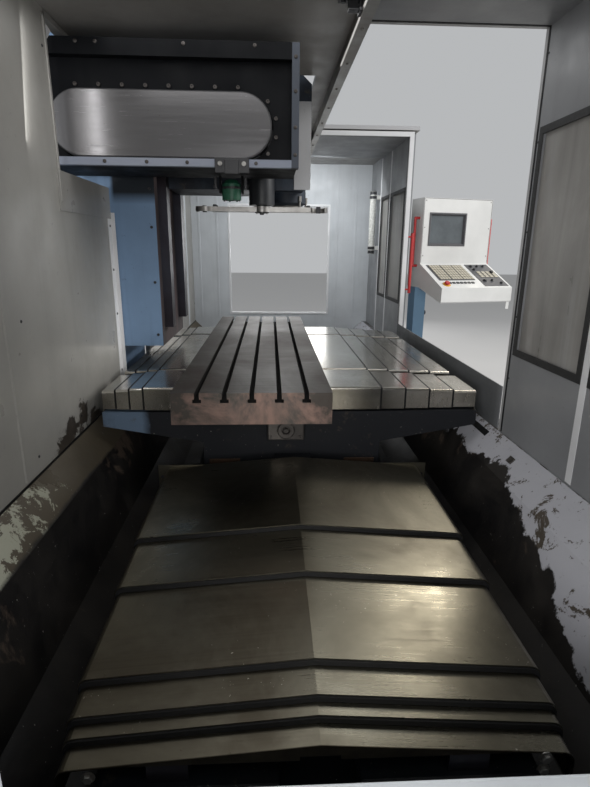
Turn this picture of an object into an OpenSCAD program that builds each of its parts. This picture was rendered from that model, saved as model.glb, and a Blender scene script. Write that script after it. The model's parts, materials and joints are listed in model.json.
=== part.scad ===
// Large vertical machining centre seen with its doors open: bed, cross saddle, T-slot table, column and
// head, tool magazine, steel telescopic way covers, sheet metal enclosure and a free-standing console.
// X runs along the table, Y from the doors to the column, Z up. The floor is Z = 0 and the spindle's
// axis is at X = Y = 0.

/* [Table] */
// Length of the T-slot table
table_l = 2160; // [1900:10:2300]
// Width of the table
table_w = 590; // [560:5:620]
// Thickness of the table slab
table_t = 120; // [110:1:130]
// Height of the table face above the floor
table_z = 1050; // [1040:1:1070]
// Centre of the table along X at rest
table_x = -516; // [-540:1:-480]
// Centre of the table along Y at rest
table_y = 173; // [165:1:180]
// Distance between T-slots
slot_pitch = 100; // [90:1:110]
// Width of a T-slot's throat
slot_w = 18; // [14:1:22]
// Depth of a T-slot's throat
slot_throat = 24; // [20:1:30]
// Width of the wide foot of a T-slot
slot_foot_w = 32; // [28:1:36]
// Height of the wide foot of a T-slot
slot_foot_h = 14; // [12:1:18]

/* [Saddle] */
// Near end of the saddle along X
saddle_x0 = -1035; // [-1050:1:-1020]
// Far end of the saddle along X
saddle_x1 = 915; // [900:1:930]
// Reach of the saddle's arms to each side
saddle_reach = 900; // [880:1:910]
// Half width of the saddle's solid middle
saddle_core = 430; // [410:1:450]
// Height of the saddle's top face
saddle_top = 800; // [790:1:808]
// Height of a slideway rail above the casting that carries it
rail_h = 50; // [44:1:52]
// Width of a slideway rail
rail_w = 90; // [70:1:100]

/* [Bed] */
// Length of the bed
bed_l = 5120; // [5110:2:5180]
// Width of the bed
bed_w = 980; // [940:2:1000]
// Height of the bed's top face
bed_top = 445; // [435:1:450]
// Distance of each bed rail from the middle
bed_rail_y = 330; // [300:1:350]
// Diameter of the X ball screw
screw_d = 50; // [40:1:63]
// Distance of the anchor bolts from the ends of the bed
anchor_inset = 260; // [210:5:360]
// Distance between the anchor bolts across the bed
anchor_y = 1120; // [1110:2:1140]
// Diameter of an anchor bolt hole
anchor_d = 26; // [22:1:33]

/* [X covers] */
// Thickness of the cover sheets
sheet = 3; // [2.5:0.1:4]
// Ridge height of the smallest cover
ridge_z = 535; // [530:1:545]
// Half width of the smallest cover
cover_hw = 568; // [560:0.5:568]
// Rise of the ridge above the shoulders
ridge_rise = 45; // [35:1:55]
// Step up from each cover to the next larger one
step_z = 17; // [14:0.5:18]
// Step out from each cover to the next larger one
step_y = 4.4; // [4.4:0.1:5]
// Bend radius at the shoulders
shoulder_r = 30; // [20:1:40]
// Height of the lower edge of the skirts
skirt_z = 400; // [380:1:420]
// Running gap between a wiper and what it slides on
run = 0.3; // [0.2:0.05:0.5]
// Depth of a wiper lip along the travel
lip_l = 12; // [8:1:16]
// Length of a cover in the X direction on the near side
near_hood_l = 622; // [618:1:640]
// Length of a cover in the X direction on the far side
far_hood_l = 640; // [620:1:660]
// Length of the largest near cover
near_cap_l = 610; // [600:1:620]
// Clear gap between the saddle and the cover flange
flange_gap = 130; // [100:1:150]
// Distance of the fixed ends of the X covers from the ends of the bed
cover_inset = 7; // [0:1:20]

/* [Y covers] */
// Height of the largest cross cover's top
row_top = 920; // [915:1:925]
// Height of the cross covers' skirts
row_skirt = 110; // [95:1:118]
// Step from one cross cover to the next smaller one
row_step = 7; // [6:0.5:8]
// Bend radius at the cross covers' edges
row_r = 10; // [6:1:14]
// Width of the near and far rows
row_w = 375; // [360:1:380]
// Gap between two rows
row_gap = 24; // [16:1:32]
// Length of a cross cover on the door side
front_hood_l = 300; // [296:1:306]
// Length of a cross cover on the column side
rear_hood_l = 232; // [230:1:236]

/* [Column and head] */
// Half width of the column
column_hx = 355; // [330:1:370]
// Front face of the column's upper part
column_y = 732; // [720:1:750]
// Depth of the column's foot
column_d = 900; // [800:10:1000]
// Height at which the column steps forward over the saddle
column_step_z = 995; // [975:1:1005]
// Height of the column
column_h = 2900; // [2800:10:2950]
// Half width of the head
head_hx = 200; // [180:1:215]
// Front face of the head, in front of the spindle
head_front = 130; // [120:1:150]
// Height of the head's underside at rest
head_z = 1876; // [1860:1:1890]
// Height of the head
head_h = 720; // [680:1:760]
// Height of the spindle's nose at rest
nose_z = 1795; // [1790:1:1800]
// Diameter of the spindle's housing
quill_d = 230; // [200:1:240]
// Mouth diameter of the spindle's taper
taper_d = 69.85; // [44.45:0.01:69.85]

/* [Tool magazine] */
// Near face of the magazine along X
mag_x = -935; // [-950:1:-925]
// Depth of the magazine along X
mag_d = 440; // [420:1:450]
// Lower edge of the magazine
mag_z = 1897; // [1894:1:1905]
// Height of the magazine
mag_h = 486; // [480:1:495]
// Door side end of the magazine
mag_y0 = -23; // [-40:1:-10]
// Column side end of the magazine
mag_y1 = 1120; // [1110:1:1140]
// Width of the magazine's frame bars
mag_bar = 32; // [24:1:40]
// Tool pots round the chain
pots = 20; // [16:1:22]
// Distance of the tool changer's pivot in front of the spindle along X
pivot_x = 280; // [275:1:285]
// Distance of the tool changer's pivot from the spindle along Y
pivot_y = 150; // [140:1:155]
// Diameter of the tool changer's gearbox
gearbox_d = 144; // [130:1:150]

/* [Enclosure] */
// Gap between the ends of the bed and the end walls
end_gap = 180; // [160:5:200]
// Inner face of the walls on both sides
enc_y = 980; // [970:1:990]
// Height of the ceiling
ceiling_z = 2440; // [2425:5:2450]
// Thickness of the enclosure panels
wall_t = 30; // [25:1:40]
// Height of the near port's sill above the floor
near_sill = 665; // [640:5:720]
// Near edge of the door opening
door_x0 = -1105; // [-1120:1:-1090]
// Far edge of the door opening
door_x1 = 970; // [955:1:985]
// Height of the door sill
sill_z = 940; // [930:1:950]
// Door side edge of the ceiling between the doors
roof_y = -240; // [-250:1:-230]
// Thickness of a door leaf
leaf_t = 34; // [28:1:36]
// Width of the end wall opening
port_w = 1110; // [1080:10:1140]
// Height of the end wall opening
port_h = 1180; // [1160:10:1200]
// Lower edge of the end wall opening
port_z = 823; // [815:1:830]

/* [Lamp and handles] */
// Place of the work lamp along the machine
lamp_x = 2250; // [2200:10:2300]
// Height of the work lamp's lower end
lamp_z = 1500; // [1450:10:1550]
// Length of the work lamp
lamp_l = 620; // [600:10:640]
// Diameter of the work lamp
lamp_d = 64; // [56:2:68]
// Height of a door handle's lower end
handle_z = 1195; // [1150:5:1250]
// Length of a door handle
handle_l = 485; // [460:5:500]
// Diameter of a door handle
handle_d = 24; // [20:1:26]

/* [Console] */
// Screen face of the console along X
con_x = 1188; // [1180:2:1220]
// Centre of the console along Y
con_y = -1498; // [-1530:2:-1498]
// Width of the console
con_w = 668; // [640:4:668]
// Depth of the console's box
con_d = 200; // [160:2:220]
// Lower edge of the console's box
con_z = 1236; // [1200:4:1250]
// Height of the console's box
con_h = 731; // [700:1:760]
// Turn of the console towards its operator
con_turn = 14.3; // [10:0.1:16]
// Height of the desk where it meets the console's face
desk_z = 1433; // [1410:1:1450]
// Fall of the desk towards its front edge
desk_fall = 179; // [160:1:190]
// Thickness of the desk at its front edge
desk_t = 119; // [100:1:125]
// Reach of the key desk in front of the screen
desk_l = 367; // [340:1:380]

/* [Hidden] */
$fn = 48;
eps = 0.01;
enc_x = bed_l / 2 + end_gap;
cover_end = bed_l / 2 - cover_inset;
anchor_x = bed_l - 2 * anchor_inset;
row_x = [
    [saddle_x0, saddle_x0 + row_w],
    [saddle_x0 + row_w + row_gap, saddle_x1 - row_w - row_gap],
    [saddle_x1 - row_w, saddle_x1],
];
rail_x = [
    (row_x[0][0] + row_x[0][1]) / 2,
    row_x[1][0] + 240,
    row_x[1][1] - 240,
    (row_x[2][0] + row_x[2][1]) / 2,
];
saddle_z = bed_top + rail_h + run;
carriage_z = saddle_top + rail_h + run;
table_bottom = table_z - table_t;
slide_plate_z = table_bottom - 40;
magazine_mid = mag_z + 167;
capsule_r = 128;
capsule_y = [mag_y0 + 123 + capsule_r, mag_y1 - 81 - capsule_r];

way_end = cover_end - sheet - run;
foot_z = 200;
column_foot = enc_y + wall_t + 5;
column_back = column_y + column_d;
spindle_d = 128.57;
spindle_h = 250;
arm_z = nose_z - 45;
arm_r = norm([pivot_x, pivot_y]);
pot_z = nose_z - 6;
pot_d = 96;
pot_h = 96;
pot_pin = 16;
pot_pivot = mag_z - 56;
skirting_z = 60;
channel_z = 725;
apron = 110;
leaf_y = enc_y + 8;
leaf_z = channel_z - 6 + run;
leaf_top = ceiling_z - 10;
front_inner = leaf_y + leaf_t + 10;
front_outer = front_inner + wall_t;
handle_strip = 110;
leaf_l = (door_x1 - door_x0) / 2;
leaf_rim = 75;
window_w = 482;
mullion_w = 90;
windows = [[leaf_rim, leaf_rim + window_w], [leaf_rim + window_w + mullion_w, leaf_l - leaf_rim]];
window_z = 1125;
window_h = 885;
screen_w = 360;
screen_h = 270;
screen_z = con_z + 345;
screen_y = 94;
stem_d = 26;
desk_slope = atan(desk_fall / desk_l);

// How the near covers share the length that they show at rest
near_share = [61, 40, 91, 336, 250];
near_flange = saddle_x0 - flange_gap;
near_show = [for (share = near_share)
    (cover_end + near_flange - near_cap_l) * share / sum(near_share, len(near_share))];
screw_z = bed_top + 30;
screw_notch_w = 90;
flange_ear = 34;

function sum(v, n) = n == 0 ? 0 : v[n - 1] + sum(v, n - 1);
function arc(cx, cy, r, a0, a1, n = 5) = [for (i = [0:n]) let (a = a0 + (a1 - a0) * i / n)
    [cx + r * cos(a), cy + r * sin(a)]];
function hood_hw(k) = cover_hw + step_y * (k - 1);
function hood_ridge(k) = ridge_z + step_z * (k - 1);

// Extrudes a Y-Z profile along X
module along_x(x0, x1) {
    translate([x0, 0, 0]) rotate([90, 0, 90]) linear_extrude(x1 - x0) children();
}

// Extrudes an X-Z profile along Y
module along_y(y0, y1) {
    translate([0, y1, 0]) rotate([90, 0, 0]) linear_extrude(y1 - y0) children();
}

// A box given by its two corners
module span(a, b) {
    translate(a) cube(b - a);
}

// Outline of a peaked hood: flat skirts, rounded shoulders, and a roof that rises to the middle
module hood_outline(hw, ridge, bottom, r) {
    zs = ridge - ridge_rise;
    polygon(concat(
        [[hw, bottom]], arc(hw - r, zs - r, r, 0, 90),
        [[0, ridge]],
        arc(-hw + r, zs - r, r, 90, 180), [[-hw, bottom]]
    ));
}

// One X cover: k counts from the smallest. The lip closes the step down to the next smaller cover
module x_hood(k, x0, x1, lip, flange) {
    hw = hood_hw(k);
    ridge = hood_ridge(k);
    along_x(x0, x1) difference() {
        hood_outline(hw, ridge, skirt_z, shoulder_r);
        hood_outline(hw - sheet, ridge - sheet, skirt_z - 1, shoulder_r - sheet);
    }
    if (lip) along_x(x0, x0 + lip_l) difference() {
        hood_outline(hw - sheet / 2, ridge - sheet / 2, skirt_z, shoulder_r - sheet / 2);
        hood_outline(hood_hw(k - 1) + run, hood_ridge(k - 1) + run, skirt_z - 1, shoulder_r);
    }
    bulkhead_x = lip ? x1 - sheet : x0;
    along_x(bulkhead_x, bulkhead_x + sheet) difference() {
        hood_outline(hw - sheet / 2, ridge - sheet / 2, saddle_z, shoulder_r - sheet / 2);
        translate([-screw_notch_w / 2, 0]) square([screw_notch_w, screw_z + screw_d / 2 + 6]);
    }
    if (flange) along_x(x1 - 2 * sheet, x1 - sheet) difference() {
        translate([-hw - flange_ear, skirt_z])
            square([2 * (hw + flange_ear), ridge - ridge_rise - skirt_z + 12]);
        hood_outline(hw - sheet / 2, ridge - sheet / 2, skirt_z - 1, shoulder_r - sheet / 2);
    }
}

function near_x(k) = -cover_end + sum(near_show, k - 1);

module x_cover_near(k) {
    seg = k == 6 ? near_cap_l : near_hood_l;
    color("darkgray") x_hood(k, near_x(k), near_x(k) + seg, k > 1, k == 6);
}

far_flange = saddle_x1 + flange_gap;
far_show = (cover_end - far_flange - far_hood_l) / 3;
function far_x(k) = cover_end - far_show * (k - 1);

module x_cover_far(k) {
    color("darkgray") mirror([1, 0, 0]) x_hood(k + 2, -far_x(k), -far_x(k) + far_hood_l, k > 1, k == 4);
}

// Y covers: each one is three hoods, over the near, middle and far slideways
module row_outline(x0, x1, top, bottom, r) {
    polygon(concat(
        [[x1, bottom]], arc(x1 - r, top - r, r, 0, 90, 3),
        arc(x0 + r, top - r, r, 90, 180, 3), [[x0, bottom]]
    ));
}

module y_hood(k, y0, y1, lip_y, lip) {
    grow = row_step * (k - 1);
    top = row_top - grow;
    bottom = row_top - row_skirt;
    for (row = row_x) {
        x0 = row[0] + grow;
        x1 = row[1] - grow;
        along_y(y0, y1) difference() {
            row_outline(x0, x1, top, bottom, row_r);
            row_outline(x0 + sheet, x1 - sheet, top - sheet, bottom - 1, row_r - sheet);
        }
        if (!lip) along_y(lip_y, lip_y + sheet) row_outline(x0 + 1, x1 - 1, top - 1, saddle_top, row_r);
        if (lip) along_y(lip_y, lip_y + lip_l) difference() {
            row_outline(x0 + sheet / 2, x1 - sheet / 2, top - sheet / 2, bottom, row_r - sheet / 2);
            row_outline(x0 + row_step - run, x1 - row_step + run,
                top - row_step + run, bottom - 1, row_r);
        }
    }
}

front_edge = table_y - table_w / 2;
rear_edge = table_y + table_w / 2;
front_step = (saddle_reach + front_edge - front_hood_l) / 4;
rear_step = (saddle_reach - rear_edge - rear_hood_l) / 3;

module y_cover_front(k) {
    y_end = front_edge - front_hood_l - front_step * (k - 1);
    color("gainsboro") y_hood(k, y_end, y_end + front_hood_l, y_end, k < 5);
}

module y_cover_rear(k) {
    y_end = rear_edge + rear_hood_l + rear_step * (k - 1);
    color("gainsboro") y_hood(k, y_end - rear_hood_l, y_end, y_end - (k < 4 ? lip_l : sheet), k < 4);
}

module t_slot() {
    polygon([
        [-slot_w / 2, 1], [-slot_w / 2, -slot_throat], [-slot_foot_w / 2, -slot_throat],
        [-slot_foot_w / 2, -slot_throat - slot_foot_h], [slot_foot_w / 2, -slot_throat - slot_foot_h],
        [slot_foot_w / 2, -slot_throat], [slot_w / 2, -slot_throat], [slot_w / 2, 1]
    ]);
}

module table() color("dimgray") {
    along_x(table_x - table_l / 2, table_x + table_l / 2) difference() {
        translate([front_edge, table_bottom]) square([table_w, table_t]);
        for (i = [-2:2]) translate([table_y + i * slot_pitch, table_z]) t_slot();
    }
}

// Casting between the saddle's slideways and the table: a plate on a foot over each way
module cross_slide() color("steelblue") {
    span([saddle_x0 + 20, front_edge, slide_plate_z], [saddle_x1 - 20, rear_edge, table_bottom]);
    for (x = rail_x) span([x - 80, front_edge, carriage_z], [x + 80, rear_edge, slide_plate_z + eps]);
}

module saddle() color("steelblue") difference() {
    union() {
        along_x(saddle_x0, saddle_x1) polygon([
            [-saddle_core, saddle_z], [saddle_core, saddle_z], [saddle_core, saddle_z + 150],
            [saddle_reach, saddle_top - 70], [saddle_reach, saddle_top],
            [-saddle_reach, saddle_top], [-saddle_reach, saddle_top - 70], [-saddle_core, saddle_z + 150]
        ]);
        span([saddle_x0 - 70, -85, screw_z - 62], [saddle_x0 + 40, 85, screw_z + 110]);
    }
    translate([saddle_x0 - 80, 0, screw_z]) rotate([0, 90, 0])
        cylinder(d = screw_d + 1, h = saddle_x1 - saddle_x0 + 160);
    for (i = [0:3]) span([saddle_x0 + 130 + i * 440, -saddle_core + 120, saddle_z - 1],
        [saddle_x0 + 480 + i * 440, -90, saddle_z + 160]);
    for (i = [0:3]) span([saddle_x0 + 130 + i * 440, 90, saddle_z - 1],
        [saddle_x0 + 480 + i * 440, saddle_core - 120, saddle_z + 160]);
}

module saddle_ways() color("silver") for (x = rail_x)
    span([x - rail_w / 2, -saddle_reach + 20, saddle_top],
        [x + rail_w / 2, saddle_reach - 20, saddle_top + rail_h]);

module bed() color("lightsteelblue") difference() {
    union() {
        span([-column_hx, 0, 0], [column_hx, column_back + 100, foot_z]);
        along_x(-bed_l / 2, bed_l / 2) polygon([
            [-bed_w / 2 - 130, 0], [bed_w / 2 + 130, 0], [bed_w / 2 + 130, 50], [bed_w / 2, 90],
            [bed_w / 2, bed_top], [-bed_w / 2, bed_top], [-bed_w / 2, 90], [-bed_w / 2 - 130, 50]
        ]);
    }
    span([-bed_l / 2 - 1, -90, screw_z - 80], [bed_l / 2 + 1, 90, bed_top + 1]);
    for (x = [-anchor_x / 2, anchor_x / 2], y = [-anchor_y / 2, anchor_y / 2])
        translate([x, y, -1]) cylinder(d = anchor_d, h = 100);
}

module bed_ways() color("silver") for (y = [-bed_rail_y, bed_rail_y])
    span([-way_end, y - rail_w / 2, bed_top], [way_end, y + rail_w / 2, bed_top + rail_h]);

module x_ballscrew() color("silver") {
    translate([-cover_end + 60, 0, screw_z]) rotate([0, 90, 0])
        cylinder(d = screw_d, h = 2 * cover_end - 120);
    for (x = [-cover_end + 100, cover_end - 220]) difference() {
        span([x, -85, screw_z - 80], [x + 120, 85, screw_z + 24]);
        translate([x - 1, 0, screw_z]) rotate([0, 90, 0]) cylinder(d = screw_d + 2 * run, h = 122);
    }
}

// Sheet that falls from the enclosure wall to the bed's side on each side of the machine
module gutters() color("darkslategray") for (side = [-1, 1]) along_x(-enc_x, enc_x) {
    line = [
        [enc_y, channel_z], [enc_y - apron, channel_z - apron], [enc_y - apron - 105, 360],
        [640, 262], [bed_w / 2, 250]
    ];
    polygon([
        for (p = line) [side * p[0], p[1]],
        for (i = [4:-1:0]) [side * line[i][0], line[i][1] - 6]
    ]);
}

module column() color("cornflowerblue") along_x(-column_hx, column_hx) polygon([
    [column_y, column_step_z], [column_foot, column_step_z], [column_foot, foot_z],
    [column_back + 100, foot_z], [column_back, foot_z + 120],
    [column_back, column_h], [column_y, column_h]
]);

module column_ways() color("silver") for (x = [-1, 1])
    span([x * 240 - rail_w / 2, column_y - rail_h, column_step_z + 100],
        [x * 240 + rail_w / 2, column_y, column_h - 40]);

module z_motor() color("dimgray") translate([0, column_y + 180, column_h]) {
    translate([-110, -110, 0]) cube([220, 220, 40]);
    translate([-85, -85, 40 - eps]) cube([170, 170, 240]);
    translate([0, 0, 280 - 2 * eps]) cylinder(d = 140, h = 60);
}

head_back = column_y - rail_h - run;

module head() color("gray") difference() {
    union() {
        along_x(-head_hx, head_hx) polygon([
            [-head_front, head_z + 60], [-head_front + 40, head_z], [head_back, head_z],
            [head_back, head_z + head_h], [60, head_z + head_h],
            [-head_front, head_z + head_h - 170]
        ]);
        span([-285, head_back - 150, head_z + 60], [285, head_back, head_z + 620]);
        translate([0, 0, nose_z + 22]) cylinder(d = quill_d, h = head_z - nose_z);
        translate([0, 0, nose_z + 8]) cylinder(d1 = quill_d - 40, d2 = quill_d, h = 14 + eps);
    }
    translate([0, 0, nose_z]) cylinder(d = spindle_d + 0.1, h = spindle_h + run);
}

module spindle() color("silver") difference() {
    union() {
        translate([0, 0, nose_z]) cylinder(d = spindle_d, h = spindle_h);
        for (a = [0, 180]) rotate(a) translate([taper_d / 2 + 2, -12, nose_z - 10]) cube([22, 24, 12]);
    }
    translate([0, 0, nose_z - 1]) cylinder(d1 = taper_d + 0.3, d2 = taper_d - 29, h = 102);
    translate([0, 0, nose_z + 100]) cylinder(d = 28, h = spindle_h);
}

module spindle_motor() color("dimgray") translate([0, 250, head_z + head_h]) {
    cylinder(d = 260, h = 300);
    for (i = [0:7]) translate([0, 0, 30 + i * 32]) cylinder(d = 284, h = 14);
    translate([0, 0, 300 - eps]) cylinder(d1 = 240, d2 = 180, h = 50);
}

module stadium(y0, y1, z, r) {
    translate([y0, z]) circle(r);
    translate([y1, z]) circle(r);
    translate([y0, z - r]) square([y1 - y0, 2 * r]);
}

module magazine_frame() color("darkslategray") {
    along_x(mag_x, mag_x + 60) difference() {
        translate([mag_y0, mag_z]) square([mag_y1 - mag_y0, mag_h]);
        translate([mag_y0 + mag_bar, mag_z + mag_bar])
            square([mag_y1 - mag_y0 - 2 * mag_bar, mag_h - 3 * mag_bar]);
    }
    along_x(mag_x + 44, mag_x + 50) difference() {
        translate([mag_y0 + mag_bar - 2, mag_z + mag_bar - 2])
            square([mag_y1 - mag_y0 - 2 * mag_bar + 4, mag_h - 3 * mag_bar + 4]);
        stadium(capsule_y[0], capsule_y[1], magazine_mid, capsule_r + 12);
    }
    along_x(mag_x + 60 - eps, mag_x + mag_d) difference() {
        translate([mag_y0 + 6, mag_z + 6]) square([mag_y1 - mag_y0 - 12, mag_h - 12]);
        translate([mag_y0 + 14, mag_z + 14]) square([mag_y1 - mag_y0 - 28, mag_h - 28]);
    }
    along_x(mag_x + mag_d - 20, mag_x + mag_d)
        translate([mag_y0 + 10, mag_z + 10]) square([mag_y1 - mag_y0 - 20, mag_h - 20]);
    span([mag_x + mag_d - eps, column_y + 20, mag_z + 40], [-column_hx, mag_y1, mag_z + mag_h - 60]);
    for (side = [-1, 1]) translate([-2 * pivot_x, 2 * pivot_y + side * (pot_d / 2 + 8), 0])
        along_y(-6, 6) difference() {
            translate([-20, pot_pivot - 20]) square([40, mag_z + 7 - pot_pivot + 20]);
            translate([0, pot_pivot]) circle(d = pot_pin + 0.1);
        }
}

module magazine_plate() color("lightgray") along_x(mag_x + 4, mag_x + 12)
    stadium(capsule_y[0], capsule_y[1], magazine_mid, capsule_r);

chain_r = capsule_r - 18;
chain_half = capsule_y[1] - capsule_y[0];
chain_length = 2 * chain_half + 2 * PI * chain_r;

// Point of the chain's path at distance s along it, in Y and Z
function chain_at(s) =
    s < chain_half ? [capsule_y[0] + s, magazine_mid + chain_r]
    : s < chain_half + PI * chain_r ? let (a = 90 - (s - chain_half) / chain_r * 180 / PI)
        [capsule_y[1] + chain_r * cos(a), magazine_mid + chain_r * sin(a)]
    : s < 2 * chain_half + PI * chain_r ?
        [capsule_y[1] - (s - chain_half - PI * chain_r), magazine_mid - chain_r]
    : let (a = 270 - (s - 2 * chain_half - PI * chain_r) / chain_r * 180 / PI)
        [capsule_y[0] + chain_r * cos(a), magazine_mid + chain_r * sin(a)];

module tool_chain() color("black") {
    along_x(mag_x + 12, mag_x + 64) difference() {
        stadium(capsule_y[0], capsule_y[1], magazine_mid, capsule_r + 6);
        stadium(capsule_y[0], capsule_y[1], magazine_mid, capsule_r - 60);
    }
    for (i = [0:pots - 1]) let (p = chain_at(chain_length * i / pots))
        translate([mag_x + 62, p[0], p[1]]) rotate([0, 90, 0]) cylinder(d = 84, h = 190);
    along_x(mag_x + 12, mag_x + mag_d - 20) stadium(capsule_y[0], capsule_y[1], magazine_mid, 40);
}

module changer_gearbox() color("black") {
    translate([-pivot_x, pivot_y, arm_z + 36]) cylinder(d = gearbox_d, h = mag_z - arm_z - 36 + 110);
    span([mag_x + mag_d, pivot_y - 60, mag_z + 60], [-pivot_x, pivot_y + 60, mag_z + 100]);
    translate([-pivot_x, pivot_y, arm_z + 30 + run]) cylinder(d = 60, h = 20);
}

module changer_arm() color("silver") translate([-pivot_x, pivot_y, arm_z]) difference() {
    union() {
        cylinder(d = 96, h = 30);
        translate([-38, -arm_r, 0]) cube([76, 2 * arm_r, 26]);
        for (y = [-arm_r, arm_r]) translate([0, y, 0]) cylinder(d = 112, h = 26);
    }
    for (s = [-1, 1]) rotate(s > 0 ? 0 : 180) {
        translate([0, arm_r, -1]) cylinder(d = taper_d + 4, h = 30);
        translate([0, arm_r - 37, -1]) cube([80, 74, 30]);
    }
}

// The pot that hands a tool over: it hangs upright in two lugs and tilts back to the chain
module ready_pot() color("seagreen") translate([-2 * pivot_x, 2 * pivot_y, 0]) {
    difference() {
        union() {
            translate([0, 0, pot_z]) cylinder(d = pot_d, h = pot_h - 20);
            translate([0, 0, pot_z + pot_h - 20 - eps]) cylinder(d1 = pot_d, d2 = pot_d - 40, h = 20);
        }
        translate([0, 0, pot_z - 1]) cylinder(d1 = taper_d, d2 = taper_d - 24, h = 82);
    }
    for (side = [-1, 1]) translate([0, side * (pot_d / 2 - 4), pot_pivot]) rotate([-90 * side, 0, 0])
        cylinder(d = pot_pin, h = 18);
}

// The enclosure's inner walls stand on the gutters and carry the roof
module rear_wall_near() color("gainsboro") difference() {
    span([-enc_x, enc_y, skirting_z], [-column_hx - 5, enc_y + wall_t, ceiling_z]);
    span([mag_x - 105, enc_y - 1, mag_z - 167], [0, enc_y + wall_t + 1, ceiling_z - 30]);
}

module rear_wall_far() color("gainsboro")
    span([column_hx + 5, enc_y, skirting_z], [enc_x, enc_y + wall_t, ceiling_z]);

module wall_hatch() color("silver") difference() {
    span([mag_x - 140, enc_y - 4, mag_z - 197], [-column_hx - 7, enc_y, mag_z - 37]);
    for (x = [mag_x - 40, -column_hx - 90]) translate([x, enc_y + 1, mag_z - 110])
        rotate([90, 0, 0]) cylinder(d = 9, h = 8);
}

module end_wall(x, sill) difference() {
    span([x, -front_outer, skirting_z], [x + wall_t, enc_y + wall_t, ceiling_z + wall_t]);
    span([x - 1, -port_w / 2, sill], [x + wall_t + 1, port_w / 2, port_z + port_h]);
}

module end_wall_near() color("whitesmoke") end_wall(-enc_x - wall_t, near_sill);

module end_wall_far() color("whitesmoke") end_wall(enc_x, port_z);

module front_wall_near() color("gainsboro")
    span([-enc_x, -front_outer, skirting_z], [door_x0 - handle_strip, -front_inner, ceiling_z]);

module front_wall_far() color("gainsboro")
    span([door_x1 + handle_strip, -front_outer, skirting_z], [enc_x, -front_inner, ceiling_z]);

// Channel in which the door leaves run; its inner lip is the sill of the door opening
module door_channel() color("gainsboro") {
    along_x(-enc_x, enc_x) polygon([
        [-enc_y, channel_z], [-enc_y - 5, channel_z], [-enc_y - 5, channel_z - 6],
        [-front_inner, channel_z - 6], [-front_inner, channel_z - 12], [-enc_y, channel_z - 12]
    ]);
    span([door_x0, -enc_y - 5, channel_z - eps], [door_x1, -enc_y, sill_z]);
    span([door_x0 - handle_strip, -front_outer, skirting_z],
        [door_x1 + handle_strip, -front_inner, channel_z]);
}

module roof() color("gainsboro") difference() {
    under = ceiling_z - 1;
    over = ceiling_z + wall_t + 1;
    span([-enc_x, -front_outer, ceiling_z], [enc_x, enc_y + wall_t, ceiling_z + wall_t]);
    span([door_x0, -front_outer - 1, under], [door_x1, roof_y, over]);
    span([-head_hx - 100, -head_front - 15, under], [head_hx + 100, column_y, over]);
    span([-column_hx - 5, column_y - 5, under], [column_hx + 5, enc_y + wall_t + 1, over]);
}

module door_rail() color("dimgray") along_x(door_x0 - leaf_l, door_x1 + leaf_l) polygon([
    [roof_y + 6, ceiling_z], [roof_y - 40, ceiling_z],
    [roof_y - 40, ceiling_z - 6], [roof_y, ceiling_z - 6],
    [roof_y, ceiling_z - 54], [roof_y - 40, ceiling_z - 54], [roof_y - 40, ceiling_z - 60],
    [roof_y + 6, ceiling_z - 60]
]);

// Bent door leaf: an upright with two windows and a top that closes the roof opening. Its leading
// edge is at x and it reaches away from it along dir
module door_leaf(x, dir) translate([x, 0, 0]) scale([dir, 1, 1]) difference() {
    union() {
        along_x(0, leaf_l) polygon([
            [-leaf_y, leaf_z], [-leaf_y, leaf_top - leaf_t], [roof_y - 6, leaf_top - leaf_t],
            [roof_y - 6, leaf_top], [-leaf_y - leaf_t, leaf_top], [-leaf_y - leaf_t, leaf_z]
        ]);
        for (z = [handle_z + 30, handle_z + handle_l - 30])
            translate([leaf_rim / 2, -leaf_y - leaf_t + 1, z]) rotate([90, 0, 0]) cylinder(d = 14, h = 46);
        translate([leaf_rim / 2, -leaf_y - leaf_t - 45, handle_z]) cylinder(d = handle_d, h = handle_l);
    }
    for (w = windows)
        span([w[0], -leaf_y - leaf_t - 1, window_z], [w[1], -leaf_y + 1, window_z + window_h]);
}

module door_glass(x, dir) translate([x, 0, 0]) scale([dir, 1, 1]) for (w = windows)
    span([w[0], -leaf_y - leaf_t / 2 - 5, window_z],
        [w[1], -leaf_y - leaf_t / 2 + 5, window_z + window_h]);

module door_leaf_near() color("gainsboro") door_leaf(door_x0, -1);

module door_leaf_far() color("gainsboro") door_leaf(door_x1, 1);

module door_glass_near() color("slategray") door_glass(door_x0, -1);

module door_glass_far() color("slategray") door_glass(door_x1, 1);

module work_lamp() color("white") {
    translate([lamp_x, -front_inner + 70, lamp_z]) cylinder(d = lamp_d, h = lamp_l);
    for (z = [lamp_z + 40, lamp_z + lamp_l - 80])
        span([lamp_x - 18, -front_inner, z], [lamp_x + 18, -front_inner + 45, z + 40]);
}

// The console stands beside the door opening, turned towards its operator: x runs into it
// from its face and y across it
module console_place() translate([con_x, con_y, 0]) rotate(con_turn) children();

module screen_block(x0, x1) span([x0, screen_y - screen_w / 2, screen_z],
    [x1, screen_y + screen_w / 2, screen_z + screen_h]);

// Places a control on the desk: u runs down the slope from the face, v across it
module on_desk(u, v) translate([-u * cos(desk_slope), v, desk_z - u * sin(desk_slope)])
    rotate([0, -desk_slope, 0]) children();

module stop_place() on_desk(desk_l * 0.95, con_w / 2 - 75) children();

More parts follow.
